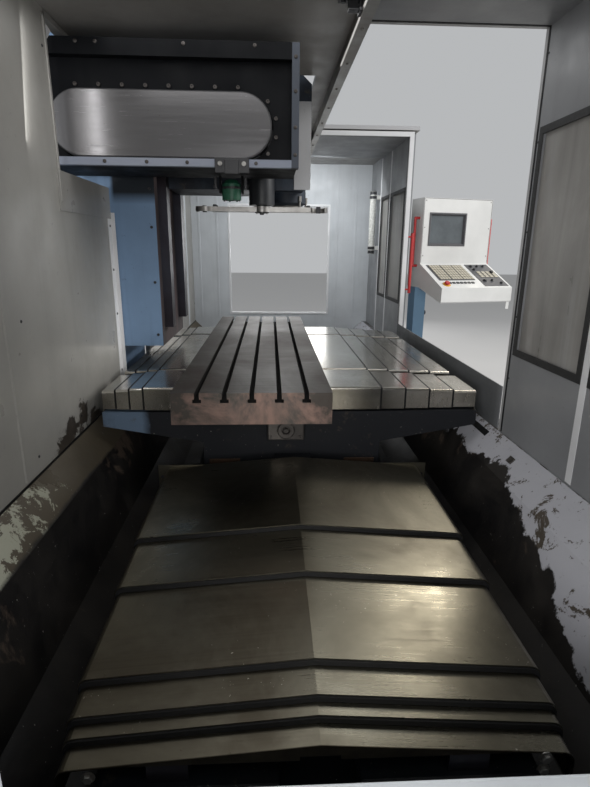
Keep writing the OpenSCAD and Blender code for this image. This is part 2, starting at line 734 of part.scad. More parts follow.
module console_box() color("whitesmoke") console_place() difference() {
    union() {
        span([0, -con_w / 2, con_z], [con_d, con_w / 2, con_z + con_h]);
        along_y(-con_w / 2, con_w / 2) polygon([
            [1, desk_z + tan(desk_slope)], [-desk_l, desk_z - desk_fall],
            [-desk_l, desk_z - desk_fall - desk_t + 8],
            [-desk_l + 8, desk_z - desk_fall - desk_t], [1, con_z]
        ]);
    }
    screen_block(-1, 26);
    stop_place() translate([0, 0, -16]) cylinder(d = stem_d + 0.2, h = 30);
}

module console_screen() color("slategray") console_place() screen_block(14, 26);

module console_post() color("steelblue") {
    console_place() {
        span([60, con_w / 2 - 112, 20 - eps], [170, con_w / 2 - 2, con_z]);
        span([-130, -con_w / 2 + 60, 0], [con_d, con_w / 2, 20]);
    }
    span([con_x + 35, con_y + con_w / 2 - 25, 640], [con_x + 85, -front_outer, 700]);
}

module handle_tube() for (z = [con_z + 180, con_z + con_h - 160]) {
    translate([60, 1, z]) rotate([90, 0, 0]) cylinder(d = 22, h = 39);
    translate([60, -38, con_z + 180]) cylinder(d = 22, h = con_h - 340);
    translate([60, -38, z]) sphere(d = 22);
}

module console_handles() color("crimson") console_place() for (side = [1, -1])
    scale([1, side, 1]) translate([0, -con_w / 2 - 1, 0]) handle_tube();

module emergency_stop() color("red") console_place() stop_place() {
    translate([0, 0, -8]) cylinder(d = stem_d, h = 20);
    translate([0, 0, 12 - eps]) cylinder(d1 = 46, d2 = 38, h = 12);
}

module override_knob() color("black") console_place() on_desk(desk_l * 0.45, -con_w / 2 + 60) {
    translate([0, 0, run]) cylinder(d = 46, h = 6);
    translate([0, 0, 6]) cylinder(d1 = 32, d2 = 28, h = 16);
    translate([-3, 8, 21]) cube([6, 8, 3]);
}

bed();
bed_ways();
x_ballscrew();
gutters();
column();
column_ways();
z_motor();
x_cover_near(1);  // x_cover_near_1
x_cover_near(2);  // x_cover_near_2
x_cover_near(3);  // x_cover_near_3
x_cover_near(4);  // x_cover_near_4
x_cover_near(5);  // x_cover_near_5
x_cover_near(6);  // x_cover_near_6
x_cover_far(1);  // x_cover_far_1
x_cover_far(2);  // x_cover_far_2
x_cover_far(3);  // x_cover_far_3
x_cover_far(4);  // x_cover_far_4
saddle();
saddle_ways();
cross_slide();
table();
y_cover_front(1);  // y_cover_front_1
y_cover_front(2);  // y_cover_front_2
y_cover_front(3);  // y_cover_front_3
y_cover_front(4);  // y_cover_front_4
y_cover_front(5);  // y_cover_front_5
y_cover_rear(1);  // y_cover_rear_1
y_cover_rear(2);  // y_cover_rear_2
y_cover_rear(3);  // y_cover_rear_3
y_cover_rear(4);  // y_cover_rear_4
head();
spindle();
spindle_motor();
magazine_frame();
magazine_plate();
tool_chain();
ready_pot();
changer_gearbox();
changer_arm();
rear_wall_near();
rear_wall_far();
wall_hatch();
end_wall_near();
end_wall_far();
front_wall_near();
front_wall_far();
door_channel();
roof();
door_rail();
work_lamp();
door_leaf_near();
door_leaf_far();
door_glass_near();
door_glass_far();
console_box();
console_post();
console_screen();
console_handles();
emergency_stop();
override_knob();
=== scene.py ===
# CNC machining center: materials, small pieces, floor, lights and the camera
import json
from math import atan2, cos, pi, radians, sin

import bmesh
import bpy
from mathutils import Matrix, Vector


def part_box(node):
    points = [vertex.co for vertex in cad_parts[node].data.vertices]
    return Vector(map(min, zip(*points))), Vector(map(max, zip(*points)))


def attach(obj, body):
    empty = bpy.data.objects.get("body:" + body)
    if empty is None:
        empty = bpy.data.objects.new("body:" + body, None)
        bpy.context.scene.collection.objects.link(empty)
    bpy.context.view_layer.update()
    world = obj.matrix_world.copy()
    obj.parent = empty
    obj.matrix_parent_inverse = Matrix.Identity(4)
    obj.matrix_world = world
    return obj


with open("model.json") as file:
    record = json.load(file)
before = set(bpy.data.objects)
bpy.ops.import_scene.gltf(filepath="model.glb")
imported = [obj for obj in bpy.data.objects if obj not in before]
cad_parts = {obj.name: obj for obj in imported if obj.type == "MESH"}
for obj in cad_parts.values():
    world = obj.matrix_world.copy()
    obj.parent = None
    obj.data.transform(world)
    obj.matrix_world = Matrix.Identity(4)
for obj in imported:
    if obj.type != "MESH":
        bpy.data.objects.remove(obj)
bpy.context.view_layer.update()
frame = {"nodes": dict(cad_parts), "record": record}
NODES = frame["nodes"]
SCENE = bpy.context.scene

LO = {name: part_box(name)[0] for name in NODES}
HI = {name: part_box(name)[1] for name in NODES}


def middle(name):
    """Middle of a node's box, seen from above."""
    return [(LO[name][i] + HI[name][i]) / 2 for i in (0, 1)]


BODIES = frame["record"]["behaviour"]["bodies"]
BODY_OF = {node: body for body, nodes in BODIES.items() for node in nodes}

ROOF_LOW = LO["roof"][2]
FRONT_Y = HI["front_wall_near"][1]
WALL_Y = LO["rear_wall_near"][1]
LEAF_OUT = LO["door_glass_near"][1] - 0.012
LEAF_IN = HI["door_glass_near"][1] + 0.012
LIP_END = LO["x_cover_near_1"][0] + 0.002
COLUMN_FRONT = LO["column"][1]
MAG_X, MAG_Y = LO["magazine_frame"][:2]
PLATE_LOW, PLATE_TOP = LO["magazine_plate"][2], HI["magazine_plate"][2]
CHANNEL_Z = HI["gutters"][2]

# Materials

GRIME = (0.05, 0.045, 0.04)


class Graph:
    """One node material, on object coordinates."""

    def __init__(self, name):
        self.mat = bpy.data.materials.new(name)
        self.mat.use_nodes = True
        self.tree = self.mat.node_tree
        self.bsdf = self.tree.nodes["Principled BSDF"]
        self.coord = self.node("ShaderNodeTexCoord").outputs["Object"]
        self.axes = self.node("ShaderNodeSeparateXYZ", [self.coord]).outputs

    def node(self, kind, inputs=(), **props):
        n = self.tree.nodes.new(kind)
        for key, value in props.items():
            setattr(n, key, value)
        for i, value in enumerate(inputs):
            self.put(n.inputs[i], value)
        return n

    def put(self, socket, value):
        if isinstance(value, bpy.types.NodeSocket):
            self.tree.links.new(value, socket)
        elif value is not None:
            if isinstance(value, (tuple, list)) and len(value) == 3 and socket.type == "RGBA":
                value = (*value, 1)
            socket.default_value = value

    def sum_of(self, op, a, b, clamp=False):
        return self.node("ShaderNodeMath", [a, b], operation=op, use_clamp=clamp).outputs[0]

    def times(self, a, b):
        return self.sum_of("MULTIPLY", a, b)

    def plus(self, a, b, clamp=False):
        return self.sum_of("ADD", a, b, clamp)

    def minus(self, a, b):
        return self.sum_of("SUBTRACT", a, b)

    def stretch(self, scale):
        n = self.node("ShaderNodeMapping", [self.coord])
        n.inputs["Scale"].default_value = scale
        return n.outputs[0]

    def noise(self, scale, detail=4, rough=0.6, vector=None, warp=0.0):
        n = self.node("ShaderNodeTexNoise")
        self.put(n.inputs["Vector"], vector or self.coord)
        n.inputs["Scale"].default_value = scale
        n.inputs["Detail"].default_value = detail
        n.inputs["Roughness"].default_value = rough
        n.inputs["Distortion"].default_value = warp
        return n.outputs["Fac"]

    def ramp(self, value, low, high, lo_out=0.0, hi_out=1.0):
        inputs = [value, low, high, lo_out, hi_out]
        return self.node("ShaderNodeMapRange", inputs, clamp=True).outputs[0]

    def band(self, value, low, high, soft=0.02):
        """One between two bounds, with soft edges."""
        rising = self.ramp(value, low - soft, low + soft)
        falling = self.ramp(value, high + soft, high - soft)
        return self.times(rising, falling)

    def mix(self, factor, a, b):
        n = self.node("ShaderNodeMix", data_type="RGBA")
        self.put(n.inputs["Factor"], factor)
        self.put(n.inputs["A"], a)
        self.put(n.inputs["B"], b)
        return n.outputs["Result"]

    def fleck(self, base, colour, noise, low, high, amount=1.0):
        """Spots of a second colour, from a noise given as scale, detail and roughness."""
        return self.mix(self.ramp(self.noise(*noise), low, high, 0, amount), base, colour)

    def out(self, colour=None, rough=None, metal=None, bump=None, depth=0.001, **fixed):
        for socket, value in (("Base Color", colour), ("Roughness", rough), ("Metallic", metal)):
            if value is not None:
                self.put(self.bsdf.inputs[socket], value)
        if bump is not None:
            n = self.node("ShaderNodeBump")
            n.inputs["Strength"].default_value = 0.6
            n.inputs["Distance"].default_value = depth
            self.put(n.inputs["Height"], bump)
            self.put(self.bsdf.inputs["Normal"], n.outputs[0])
        for key, value in fixed.items():
            self.bsdf.inputs[key.replace("_", " ")].default_value = value
        return self.mat


def shade(colour, k):
    return tuple(min(1, c * k) for c in colour)


def enamel(g, colour, grime, dark, drip=True):
    """Soft clouds, run marks and specks of dirt over one paint colour."""
    base = g.mix(g.ramp(g.noise(2.2, 5, 0.55), 0.3, 0.72), shade(colour, 0.86), shade(colour, 1.08))
    if drip:
        runs = g.noise(1.0, 4, 0.6, g.stretch((9, 9, 0.55)), 0.6)
        base = g.mix(g.ramp(runs, 0.52, 0.78, 0, grime), base, dark)
    return g.fleck(base, dark, (38, 3, 0.7), 0.66, 0.74, grime * 1.6)


def enamel_skin(g):
    """Height of the fine orange peel of sprayed enamel."""
    return g.times(g.noise(60, 3, 0.6), 0.25)


def enamel_shine(g, rough):
    return g.ramp(g.noise(7, 4, 0.6), 0.3, 0.75, rough * 0.8, min(1, rough * 1.5))


def paint(name, colour, rough=0.35, grime=0.25, dark=GRIME, drip=True):
    g = Graph(name)
    base = enamel(g, colour, grime, dark, drip)
    return g.out(base, enamel_shine(g, rough), None, enamel_skin(g), 0.0012)


def peeling(name, colour, top, depth, amount, inside, rough=0.34, worn_x=(-9.0, 9.0)):
    """Enamel that has come off towards the foot, in ragged flakes over dark metal."""
    g = Graph(name)
    base = enamel(g, colour, 0.14, GRIME)
    where = g.ramp(g.axes[2], top, top - depth, -0.2, amount)
    aside = g.minus(1, g.band(g.axes[0], *worn_x, 0.35))
    where = g.minus(where, g.times(aside, 0.16))
    outside = g.minus(1, g.band(g.axes[1], *inside, 0.002))
    where = g.minus(where, outside)
    flakes = g.plus(g.noise(3.4, 9, 0.68, None, 0.4), where)
    base = g.mix(g.ramp(flakes, 0.575, 0.6), base, shade(colour, 0.75))
    bare = g.ramp(flakes, 0.60, 0.612)
    base = g.mix(bare, base, g.mix(g.noise(20, 4), (0.014, 0.013, 0.012), (0.085, 0.07, 0.055)))
    height = g.minus(enamel_skin(g), g.times(bare, 0.8))
    return g.out(base, enamel_shine(g, rough), None, height, 0.0012)


def plain(name, colour, rough=0.5, metal=0.0, grain=60, vary=0.2, **fixed):
    g = Graph(name)
    n = g.noise(grain, 4, 0.6)
    base = g.mix(g.ramp(n, 0.3, 0.7), shade(colour, 1 - vary), shade(colour, 1 + 0.6 * vary))
    shine = g.ramp(n, 0.3, 0.7, rough * 0.85, min(1, rough * 1.2))
    return g.out(base, shine, metal, n, 0.0004, **fixed)


def brushed(g, colour, stain, lines, amount, low=0.38, high=0.66):
    """Metal with an oily film in clouds, brush lines and specks: its colour, film and brush."""
    brush = g.noise(3.0, 5, 0.7, g.stretch(lines))
    film = g.noise(1.6, 6, 0.62, None, 0.5)
    base = g.mix(g.ramp(film, low, high, 0, amount), colour, stain)
    base = g.mix(g.ramp(brush, 0.35, 0.7, 0, 0.25), base, shade(colour, 0.72))
    return g.fleck(base, (0.10, 0.08, 0.055), (55, 4, 0.72), 0.68, 0.73, 0.7), film, brush


def oiled_shine(g, film, brush, low, high, line=0.05):
    """Roughness that follows the oily film and the brush lines."""
    return g.plus(g.ramp(film, 0.3, 0.7, low, high), g.ramp(brush, 0.3, 0.7, -line, line + 0.01))


def metal(name, colour, stain, rough=0.3, lines=(1, 60, 1), amount=0.5, spread=0.2, metallic=1.0):
    g = Graph(name)
    base, film, brush = brushed(g, colour, stain, lines, amount)
    shine = oiled_shine(g, film, brush, rough, rough + spread)
    return g.out(base, shine, metallic, g.times(brush, 0.25), 0.0010)


def cover_sheet():
    """Olive brown sheet under oil, with bright chips; the far covers go near black as painted shade, and the
    end plate is painted near black as shade under the lips, mottled brown.
    """
    g = Graph("oily_cover_sheet")
    olive, oil = (0.31, 0.29, 0.225), (0.095, 0.080, 0.058)
    base, film, brush = brushed(g, olive, oil, (50, 1, 1), 0.9, 0.34, 0.62)
    chips = g.times(g.noise(95, 3, 0.75), g.ramp(g.noise(6, 3), 0.35, 0.6, 0.86, 1.06))
    base = g.mix(g.ramp(chips, 0.715, 0.74, 0, 0.9), base, (0.80, 0.76, 0.66))
    # Painted shade: from X 0.5 m on, the far covers are painted nearly black for the shadow under the
    # saddle.
    base = g.mix(g.ramp(g.axes[0], 0.5, 0.9, 0, 0.9), base, (0.012, 0.011, 0.010))
    # Painted shade: the end plate of the nearest cover is painted near black for the shade under the lips,
    # mottled brown.
    end = g.ramp(g.axes[0], LIP_END + 0.0005, LIP_END - 0.0005)
    base = g.mix(end, base, g.mix(g.noise(14, 5, 0.7), (0.006, 0.006, 0.006), (0.10, 0.085, 0.06)))
    shine = oiled_shine(g, film, brush, 0.22, 0.44, 0.04)
    return g.out(base, shine, 1.0, g.times(brush, 0.25), 0.0010)


def table_iron():
    """Dark grey-brown iron; the slots are painted black, partly for oil and partly as painted shade in them,
    and the near end has rusty patches.
    """
    g = Graph("table_iron")
    iron, oil = (0.105, 0.098, 0.088), (0.050, 0.036, 0.030)
    base, film, brush = brushed(g, iron, oil, (40, 1, 1), 0.85, 0.36, 0.62)
    rust = g.ramp(g.noise(4.0, 6, 0.66, None, 0.4), 0.46, 0.60)
    end = LO["table"][0]
    near = g.ramp(g.axes[0], end + 0.004, end + 0.002)
    base = g.mix(g.times(near, g.times(rust, 0.85)), base, (0.30, 0.195, 0.16))
    top = HI["table"][2]
    between = g.band(g.axes[1], LO["table"][1] + 0.02, HI["table"][1] - 0.02, 0.002)
    # Painted shade, with oil: the sunk faces of the slots are painted near black and made dull.
    sunk = g.times(g.ramp(g.axes[2], top - 0.001, top - 0.008), between)
    sunk = g.times(sunk, g.minus(1, near))
    base = g.mix(sunk, base, (0.008, 0.007, 0.006))
    shine = oiled_shine(g, film, brush, 0.42, 0.62)
    shine = g.plus(shine, g.times(sunk, 0.4), clamp=True)
    metallic = g.minus(0.75, g.times(sunk, 0.75))
    height = g.times(brush, 0.3)
    return g.out(base, shine, metallic, height, 0.0008, Specular_IOR_Level=0.3)


def oily_shaded_blue(name, clean, dark, low, high, clean_lit_end=False):
    """Blue enamel under a nearly black film of oil, which also stands in as painted shade, with worn edges
    of dried brown.
    """
    g = Graph(name)
    film = g.noise(2.6, 6, 0.66, None, 0.5)
    # The far end of the slide is kept lighter: clean, and left out of the painted shade.
    if clean_lit_end:
        film = g.plus(film, g.ramp(g.axes[1], 0.66, 0.72, 0.35, -0.12))
    base = g.mix(g.ramp(film, low, high), clean, dark)
    base = g.fleck(base, (0.085, 0.065, 0.045), (9, 6, 0.7), 0.60, 0.68, 0.55)
    base = g.fleck(base, (0.40, 0.38, 0.33), (80, 3, 0.7), 0.70, 0.74, 0.8)
    shine = g.ramp(film, 0.3, 0.7, 0.32, 0.6)
    return g.out(base, shine, None, g.noise(24, 5, 0.6), 0.0016, Specular_IOR_Level=0.3)


def column_paint():
    """Blue enamel; the front of the casting is dark with oil, in brown and violet runs that are partly
    painted reflection; its top towards the front is painted near black, partly as shade.
    """
    g = Graph("column_enamel")
    base = enamel(g, (0.23, 0.35, 0.53), 0.25, (0.02, 0.03, 0.04))
    # Painted shade, partly oil: towards its front, the casting is painted nearly black above 1.8 m.
    high = g.ramp(g.axes[2], 1.78, 1.84)
    ahead = g.ramp(g.axes[1], COLUMN_FRONT + 0.24, COLUMN_FRONT + 0.22)
    base = g.mix(g.times(high, ahead), base, (0.020, 0.026, 0.034))
    # The brown and violet runs on the front are partly oil and partly painted reflection.
    runs = g.noise(1.0, 5, 0.62, g.stretch((11, 11, 0.7)), 0.5)
    oil = g.mix(g.ramp(runs, 0.35, 0.65), (0.018, 0.017, 0.018), (0.095, 0.070, 0.072))
    front = g.ramp(g.axes[1], COLUMN_FRONT + 0.003, COLUMN_FRONT + 0.001)
    base = g.mix(front, base, oil)
    shine = g.plus(g.ramp(runs, 0.3, 0.7, 0.30, 0.5), g.times(front, 0.3))
    return g.out(base, shine, None, g.noise(40, 4, 0.6), 0.0010, Specular_IOR_Level=0.25)


def magazine_paint():
    """Charcoal enamel; the lower bar and the right hand bar are a lighter slate."""
    g = Graph("magazine_enamel")
    base = enamel(g, (0.0055, 0.0062, 0.0078), 0.2, (0.022, 0.022, 0.023))
    rim = g.ramp(g.axes[0], MAG_X + 0.036, MAG_X + 0.034)
    foot = g.times(rim, g.ramp(g.axes[2], PLATE_LOW - 0.005, PLATE_LOW - 0.008))
    base = g.mix(foot, base, g.mix(g.noise(5, 4), (0.24, 0.27, 0.34), (0.34, 0.36, 0.42)))
    right = g.times(rim, g.ramp(g.axes[1], MAG_Y + 0.033, MAG_Y + 0.031))
    base = g.mix(right, base, (0.085, 0.095, 0.115))
    return g.out(base, enamel_shine(g, 0.5), None, enamel_skin(g), 0.0012, Specular_IOR_Level=0.12)


def channel_paint():
    """Door channel: pale beside the near wall, dark with oil along the opening."""
    g = Graph("channel_enamel")
    base = enamel(g, (0.40, 0.41, 0.435), 0.14, GRIME)
    dim = enamel(g, (0.125, 0.13, 0.135), 0.2, (0.03, 0.03, 0.03))
    base = g.mix(g.ramp(g.axes[0], -1.25, -1.05), base, dim)
    fold = g.band(g.axes[2], 0.7185, 0.732, 0.002)
    rust = g.times(fold, g.ramp(g.noise(16, 6, 0.7), 0.44, 0.54))
    base = g.mix(rust, base, (0.055, 0.035, 0.022))
    return g.out(base, enamel_shine(g, 0.4), None, enamel_skin(g), 0.0012)


def leaf_paint():
    """Door leaves: grey enamel inside, and a red handle outside."""
    g = Graph("leaf_enamel")
    base = enamel(g, (0.26, 0.265, 0.275), 0.14, GRIME)
    handle = g.ramp(g.axes[1], LEAF_OUT - 0.0020, LEAF_OUT - 0.0030)
    base = g.mix(handle, base, (0.48, 0.028, 0.028))
    return g.out(base, enamel_shine(g, 0.36), None, enamel_skin(g), 0.0010)


def roof_paint():
    """Grey-brown under the roof, pale on its edges and its outside."""
    g = Graph("roof_enamel")
    base = enamel(g, (0.235, 0.225, 0.210), 0.12, GRIME)
    top = g.ramp(g.axes[2], ROOF_LOW + 0.001, ROOF_LOW + 0.002)
    base = g.mix(top, base, (0.50, 0.50, 0.51))
    shine = g.plus(enamel_shine(g, 0.36), g.times(top, 0.25))
    return g.out(base, shine, None, enamel_skin(g), 0.0012)


def gutter_material():
    """Pale worn enamel at the top of the gutters; black, wet and patched below."""
    g = Graph("wet_gutter")
    film = g.noise(2.4, 6, 0.65, None, 0.4)
    base = g.mix(g.ramp(film, 0.35, 0.7), (0.008, 0.008, 0.009), (0.034, 0.030, 0.026))
    rising = g.ramp(g.axes[2], 0.25, 0.60, -0.10, 0.03)
    worn = g.plus(g.noise(4.2, 8, 0.7, None, 0.4), rising)
    base = g.mix(g.ramp(worn, 0.60, 0.66, 0, 0.75), base, (0.115, 0.085, 0.065))
    base = g.fleck(base, (0.46, 0.44, 0.40), (70, 4, 0.7), 0.69, 0.73)
    left = g.ramp(g.axes[1], -0.05, 0.05)
    clouds = g.noise(3, 5)
    lilac = g.mix(clouds, (0.40, 0.40, 0.44), (0.54, 0.54, 0.57))
    green = g.mix(clouds, (0.34, 0.345, 0.27), (0.46, 0.465, 0.38))
    pale = g.mix(left, lilac, green)
    chipped = g.times(g.band(g.axes[0], -2.2, -1.15, 0.3), 0.10)
    chipped = g.plus(chipped, g.ramp(g.axes[0], -1.7, -1.3, 0, 0.22))
    chipped = g.times(left, chipped)
    flakes = g.plus(g.noise(11.0, 9, 0.74, None, 0.5), chipped)
    pale = g.mix(g.ramp(flakes, 0.57, 0.59, 0, 0.95), pale, (0.062, 0.047, 0.030))
    pale = g.fleck(pale, (0.06, 0.05, 0.04), (36, 4, 0.7), 0.64, 0.70, 0.7)
    right_edge = g.ramp(g.axes[0], -2.12, -1.95, 0.40, 0.53)
    right_edge = g.plus(right_edge, g.ramp(g.axes[0], -1.95, -1.3, 0, 0.09))
    right_edge = g.times(g.minus(1, left), right_edge)
    edge_at = g.plus(g.times(left, 0.615), right_edge)
    ragged = g.minus(g.noise(4.0, 7, 0.66, None, 0.3), 0.5)
    ragged = g.times(ragged, g.ramp(g.axes[1], -0.05, 0.05, 0.30, 0.03))
    above = g.minus(g.plus(g.axes[2], ragged), edge_at)
    base = g.mix(g.ramp(above, 0.0, 0.010), base, pale)
    shine = g.ramp(film, 0.3, 0.7, 0.25, 0.7)
    return g.out(base, shine, None, g.noise(9, 6, 0.6), 0.0035, Specular_IOR_Level=0.3)


def glass_material():
    """Window clouded by dried coolant, with streaks that run down; clearer patches are painted pale, a
    painted glow of the light behind them.
    """
    g = Graph("clouded_glass")
    streak = g.noise(1.0, 5, 0.62, g.stretch((7, 7, 0.9)), 0.8)
    cloud = g.noise(2.0, 6, 0.6, None, 0.5)
    clouded = g.ramp(cloud, 0.3, 0.7, 0.1, 0.45)
    haze = g.plus(g.ramp(streak, 0.3, 0.75, 0, 0.5), clouded, clamp=True)
    clear_backlit = g.ramp(g.noise(1.0, 3, 0.5, g.stretch((3.2, 3.2, 0.35)), 0.4), 0.44, 0.60)
    dull = g.mix(haze, (0.26, 0.25, 0.235), (0.46, 0.445, 0.42))
    # Painted glow: where the glass is clearer, it is painted pale for the light coming through from behind.
    pale = g.mix(haze, (0.58, 0.57, 0.55), (0.84, 0.83, 0.81))
    base = g.mix(clear_backlit, dull, pale)
    cover = g.minus(g.ramp(haze, 0, 1, 0.66, 0.97), g.times(clear_backlit, 0.42))
    g.put(g.bsdf.inputs["Alpha"], cover)
    return g.out(base, g.ramp(haze, 0, 1, 0.15, 0.6), None, streak, 0.0006)


WALL = paint("wall_paint", (0.335, 0.325, 0.305), 0.32, 0.10)
ROOF = roof_paint()
WALL_LOW = peeling("wall_paint_peeling", (0.345, 0.335, 0.31), 0.99, 0.21, 0.13,
                   (0, WALL_Y + 0.004), worn_x=(-1.55, -1.0))
LILAC = peeling("front_wall_paint", (0.30, 0.31, 0.325), 0.735, 0.05, 0.05, (FRONT_Y - 0.004, 0), 0.4)
CHANNEL = channel_paint()
LEAF = leaf_paint()
WHITE = paint("end_wall_paint", (0.60, 0.625, 0.65), 0.36, 0.10)
EDGE_WHITE = paint("white_trim", (0.80, 0.80, 0.81), 0.34, 0.08, drip=False)
EDGE_GREY = paint("grey_trim", (0.40, 0.40, 0.40), 0.34, 0.08, drip=False)
COLUMN = column_paint()
POST_BLUE = paint("post_enamel", (0.13, 0.24, 0.36), 0.34, 0.2, (0.02, 0.03, 0.04))
# Bed, slide and head: blue painted near black, partly for oil and partly as painted shade; the head's own
# blue is darkened as painted shade.
BED = oily_shaded_blue("bed_enamel", (0.010, 0.013, 0.017), (0.005, 0.006, 0.007), 0.30, 0.52)
SLIDE = oily_shaded_blue("slide_enamel", (0.12, 0.17, 0.24), (0.008, 0.009, 0.012), 0.30, 0.60, True)
HEAD_BLUE = oily_shaded_blue("head_enamel", (0.040, 0.055, 0.078), (0.014, 0.016, 0.022), 0.34, 0.66)
BLACKISH = paint("charcoal_enamel", (0.014, 0.016, 0.020), 0.4, 0.3, (0.05, 0.05, 0.05))
MAGAZINE = magazine_paint()
PLATE = metal("satin_plate", (0.235, 0.23, 0.235), (0.19, 0.185, 0.19), 0.20, (1, 1, 40), 0.4, 0.04, 0.6)
HOOD = cover_sheet()
ROWS = metal("stainless_cover_sheet", (0.54, 0.52, 0.47), (0.25, 0.215, 0.165), 0.12, (4, 14, 4), 0.65, 0.16)
TABLE = table_iron()
GROUND = metal("ground_steel", (0.42, 0.41, 0.39), (0.16, 0.13, 0.10), 0.28, (40, 1, 1), 0.7)
OILED = metal("oily_way", (0.060, 0.062, 0.078), (0.030, 0.022, 0.024), 0.38, (14, 14, 1), 0.8)
STEEL = metal("bright_steel", (0.36, 0.35, 0.335), (0.18, 0.16, 0.14), 0.3, (30, 30, 1), 0.6)
BOLT = metal("dull_bolt", (0.13, 0.12, 0.115), (0.05, 0.045, 0.04), 0.42, (30, 30, 1), 0.6)
RUST = metal("rusty_iron", (0.16, 0.105, 0.075), (0.06, 0.035, 0.022), 0.5, (9, 9, 9), 0.8)
RUBBER = plain("black_rubber", (0.006, 0.006, 0.0065), 0.55, Specular_IOR_Level=0.25)
GASKET = plain("window_gasket", (0.022, 0.022, 0.022), 0.6)
DARK = plain("dark_plastic", (0.030, 0.030, 0.033), 0.42)
HEAD_GREY = paint("head_grey", (0.47, 0.47, 0.48), 0.35, 0.12, drip=False)
CREAM = paint("console_paint", (0.70, 0.70, 0.685), 0.34, 0.04, drip=False)
RED = plain("red_enamel", (0.50, 0.028, 0.028), 0.3)
YELLOW = plain("yellow_plate", (0.72, 0.36, 0.03), 0.4)
KEY = plain("beige_keys", (0.50, 0.46, 0.37), 0.5)
KEY_DARK = plain("grey_panel", (0.085, 0.085, 0.092), 0.5)
SCREEN = plain("screen_glass", (0.115, 0.13, 0.14), 0.12, grain=6)
LAMP = plain("lamp_tube", (0.70, 0.70, 0.66), 0.25)
GREEN = plain("green_enamel", (0.03, 0.15, 0.085), 0.4)
GUTTER = gutter_material()
GLASS = glass_material()

LOOKS = (
    (BED, "bed"), (OILED, "bed_ways column_ways saddle_ways"), (GROUND, "x_ballscrew door_rail"),
    (GUTTER, "gutters"), (COLUMN, "column"), (DARK, "z_motor spindle_motor tool_chain override_knob"),
    (SLIDE, "saddle cross_slide"), (TABLE, "table"), (HEAD_BLUE, "head"), (STEEL, "spindle changer_arm"),
    (MAGAZINE, "magazine_frame"), (PLATE, "magazine_plate"), (GREEN, "ready_pot"),
    (BLACKISH, "changer_gearbox"), (WALL_LOW, "rear_wall_near"), (WALL, "rear_wall_far wall_hatch"),
    (WHITE, "end_wall_near end_wall_far"), (LILAC, "front_wall_near front_wall_far"),
    (CHANNEL, "door_channel"), (ROOF, "roof"), (LAMP, "work_lamp"), (LEAF, "door_leaf_near door_leaf_far"),
    (GLASS, "door_glass_near door_glass_far"), (CREAM, "console_box"), (POST_BLUE, "console_post"),
    (SCREEN, "console_screen"), (RED, "console_handles emergency_stop"),
)
for name, node in NODES.items():
    cover = HOOD if name.startswith("x_cover") else ROWS
    look = next((look for look, names in LOOKS if name in names.split()), cover)
    node.data.materials.clear()
    node.data.materials.append(look)

# Mesh helpers


def block(bm, lo, hi, chamfer=0.0, matrix=None):
    """A box between two corners, with its edges broken."""
    made = bmesh.ops.create_cube(bm, size=1)["verts"]
    for v in made:
        v.co = [lo[i] + (v.co[i] + 0.5) * (hi[i] - lo[i]) for i in range(3)]
    if chamfer:
        edges = list(dict.fromkeys(e for v in made for e in v.link_edges))
        broken = bmesh.ops.bevel(bm, geom=edges, offset=chamfer, segments=2, profile=0.6, affect="EDGES")
        made = broken["verts"]
    if matrix is not None:
        bmesh.ops.transform(bm, matrix=matrix, verts=made)


def on_circle(radius, degrees, centre=(0, 0)):
    a = radians(degrees)
    return centre[0] + radius * cos(a), centre[1] + radius * sin(a)


def rectangle(x0, y0, x1, y1, inset):
    x0, y0, x1, y1 = x0 + inset, y0 + inset, x1 - inset, y1 - inset
    return (x0, y0), (x1, y0), (x1, y1), (x0, y1)


def corner(p, x, axis):
    """A point of an outline at a place along X or Y."""
    return (x, p[0], p[1]) if axis == 0 else (p[0], x, p[1])


def join(bm, low, high):
    """Faces between two closed rings of points."""
    count = len(low)
    for i in range(count):
        j = (i + 1) % count
        bm.faces.new((low[i], low[j], high[j], high[i]))


def lathe(bm, at, axis, profile, sides=20):
    """Turns a profile of (radius, height) pairs round an axis that starts at a point."""
    turn = Vector(axis).to_track_quat("Z", "Y")
    rings = []
    for radius, height in profile:
        if radius == 0:
            rings.append([bm.verts.new(Vector(at) + turn @ Vector((0, 0, height)))])
            continue
        ring = [Vector((*on_circle(radius, 360 * i / sides), height)) for i in range(sides)]
        rings.append([bm.verts.new(Vector(at) + turn @ p) for p in ring])
    for low, high in zip(rings, rings[1:]):
        for i in range(sides):
            j = (i + 1) % sides
            loop = [low[i % len(low)], low[j % len(low)], high[j % len(high)], high[i % len(high)]]
            corners = list(dict.fromkeys(loop))
            if len(corners) > 2:
                bm.faces.new(corners)


def recessed(bm, at, axis, radius, height, well, floor, sides):
    """A socket head: a rim round a sunk well."""
    profile = [(0, floor), (well, floor), (well + 0.0005, height), (radius, height), (radius, 0)]
    lathe(bm, at, axis, profile, sides)


def band(bm, outer, inner, x0, x1, axis=0):
    """A strip between two outlines with as many points, from x0 to x1 along an axis."""
    rows = [[bm.verts.new(corner(p, x, axis)) for p in line] for line, x in
            ((outer, x0), (outer, x1), (inner, x1), (inner, x0))]
    count = len(outer)
    for a, b in zip(rows, rows[1:] + rows[:1]):
        for i in range(count - 1):
            bm.faces.new((a[i], a[i + 1], b[i + 1], b[i]))
    for i in (0, count - 1):
        bm.faces.new([row[i] for row in rows])


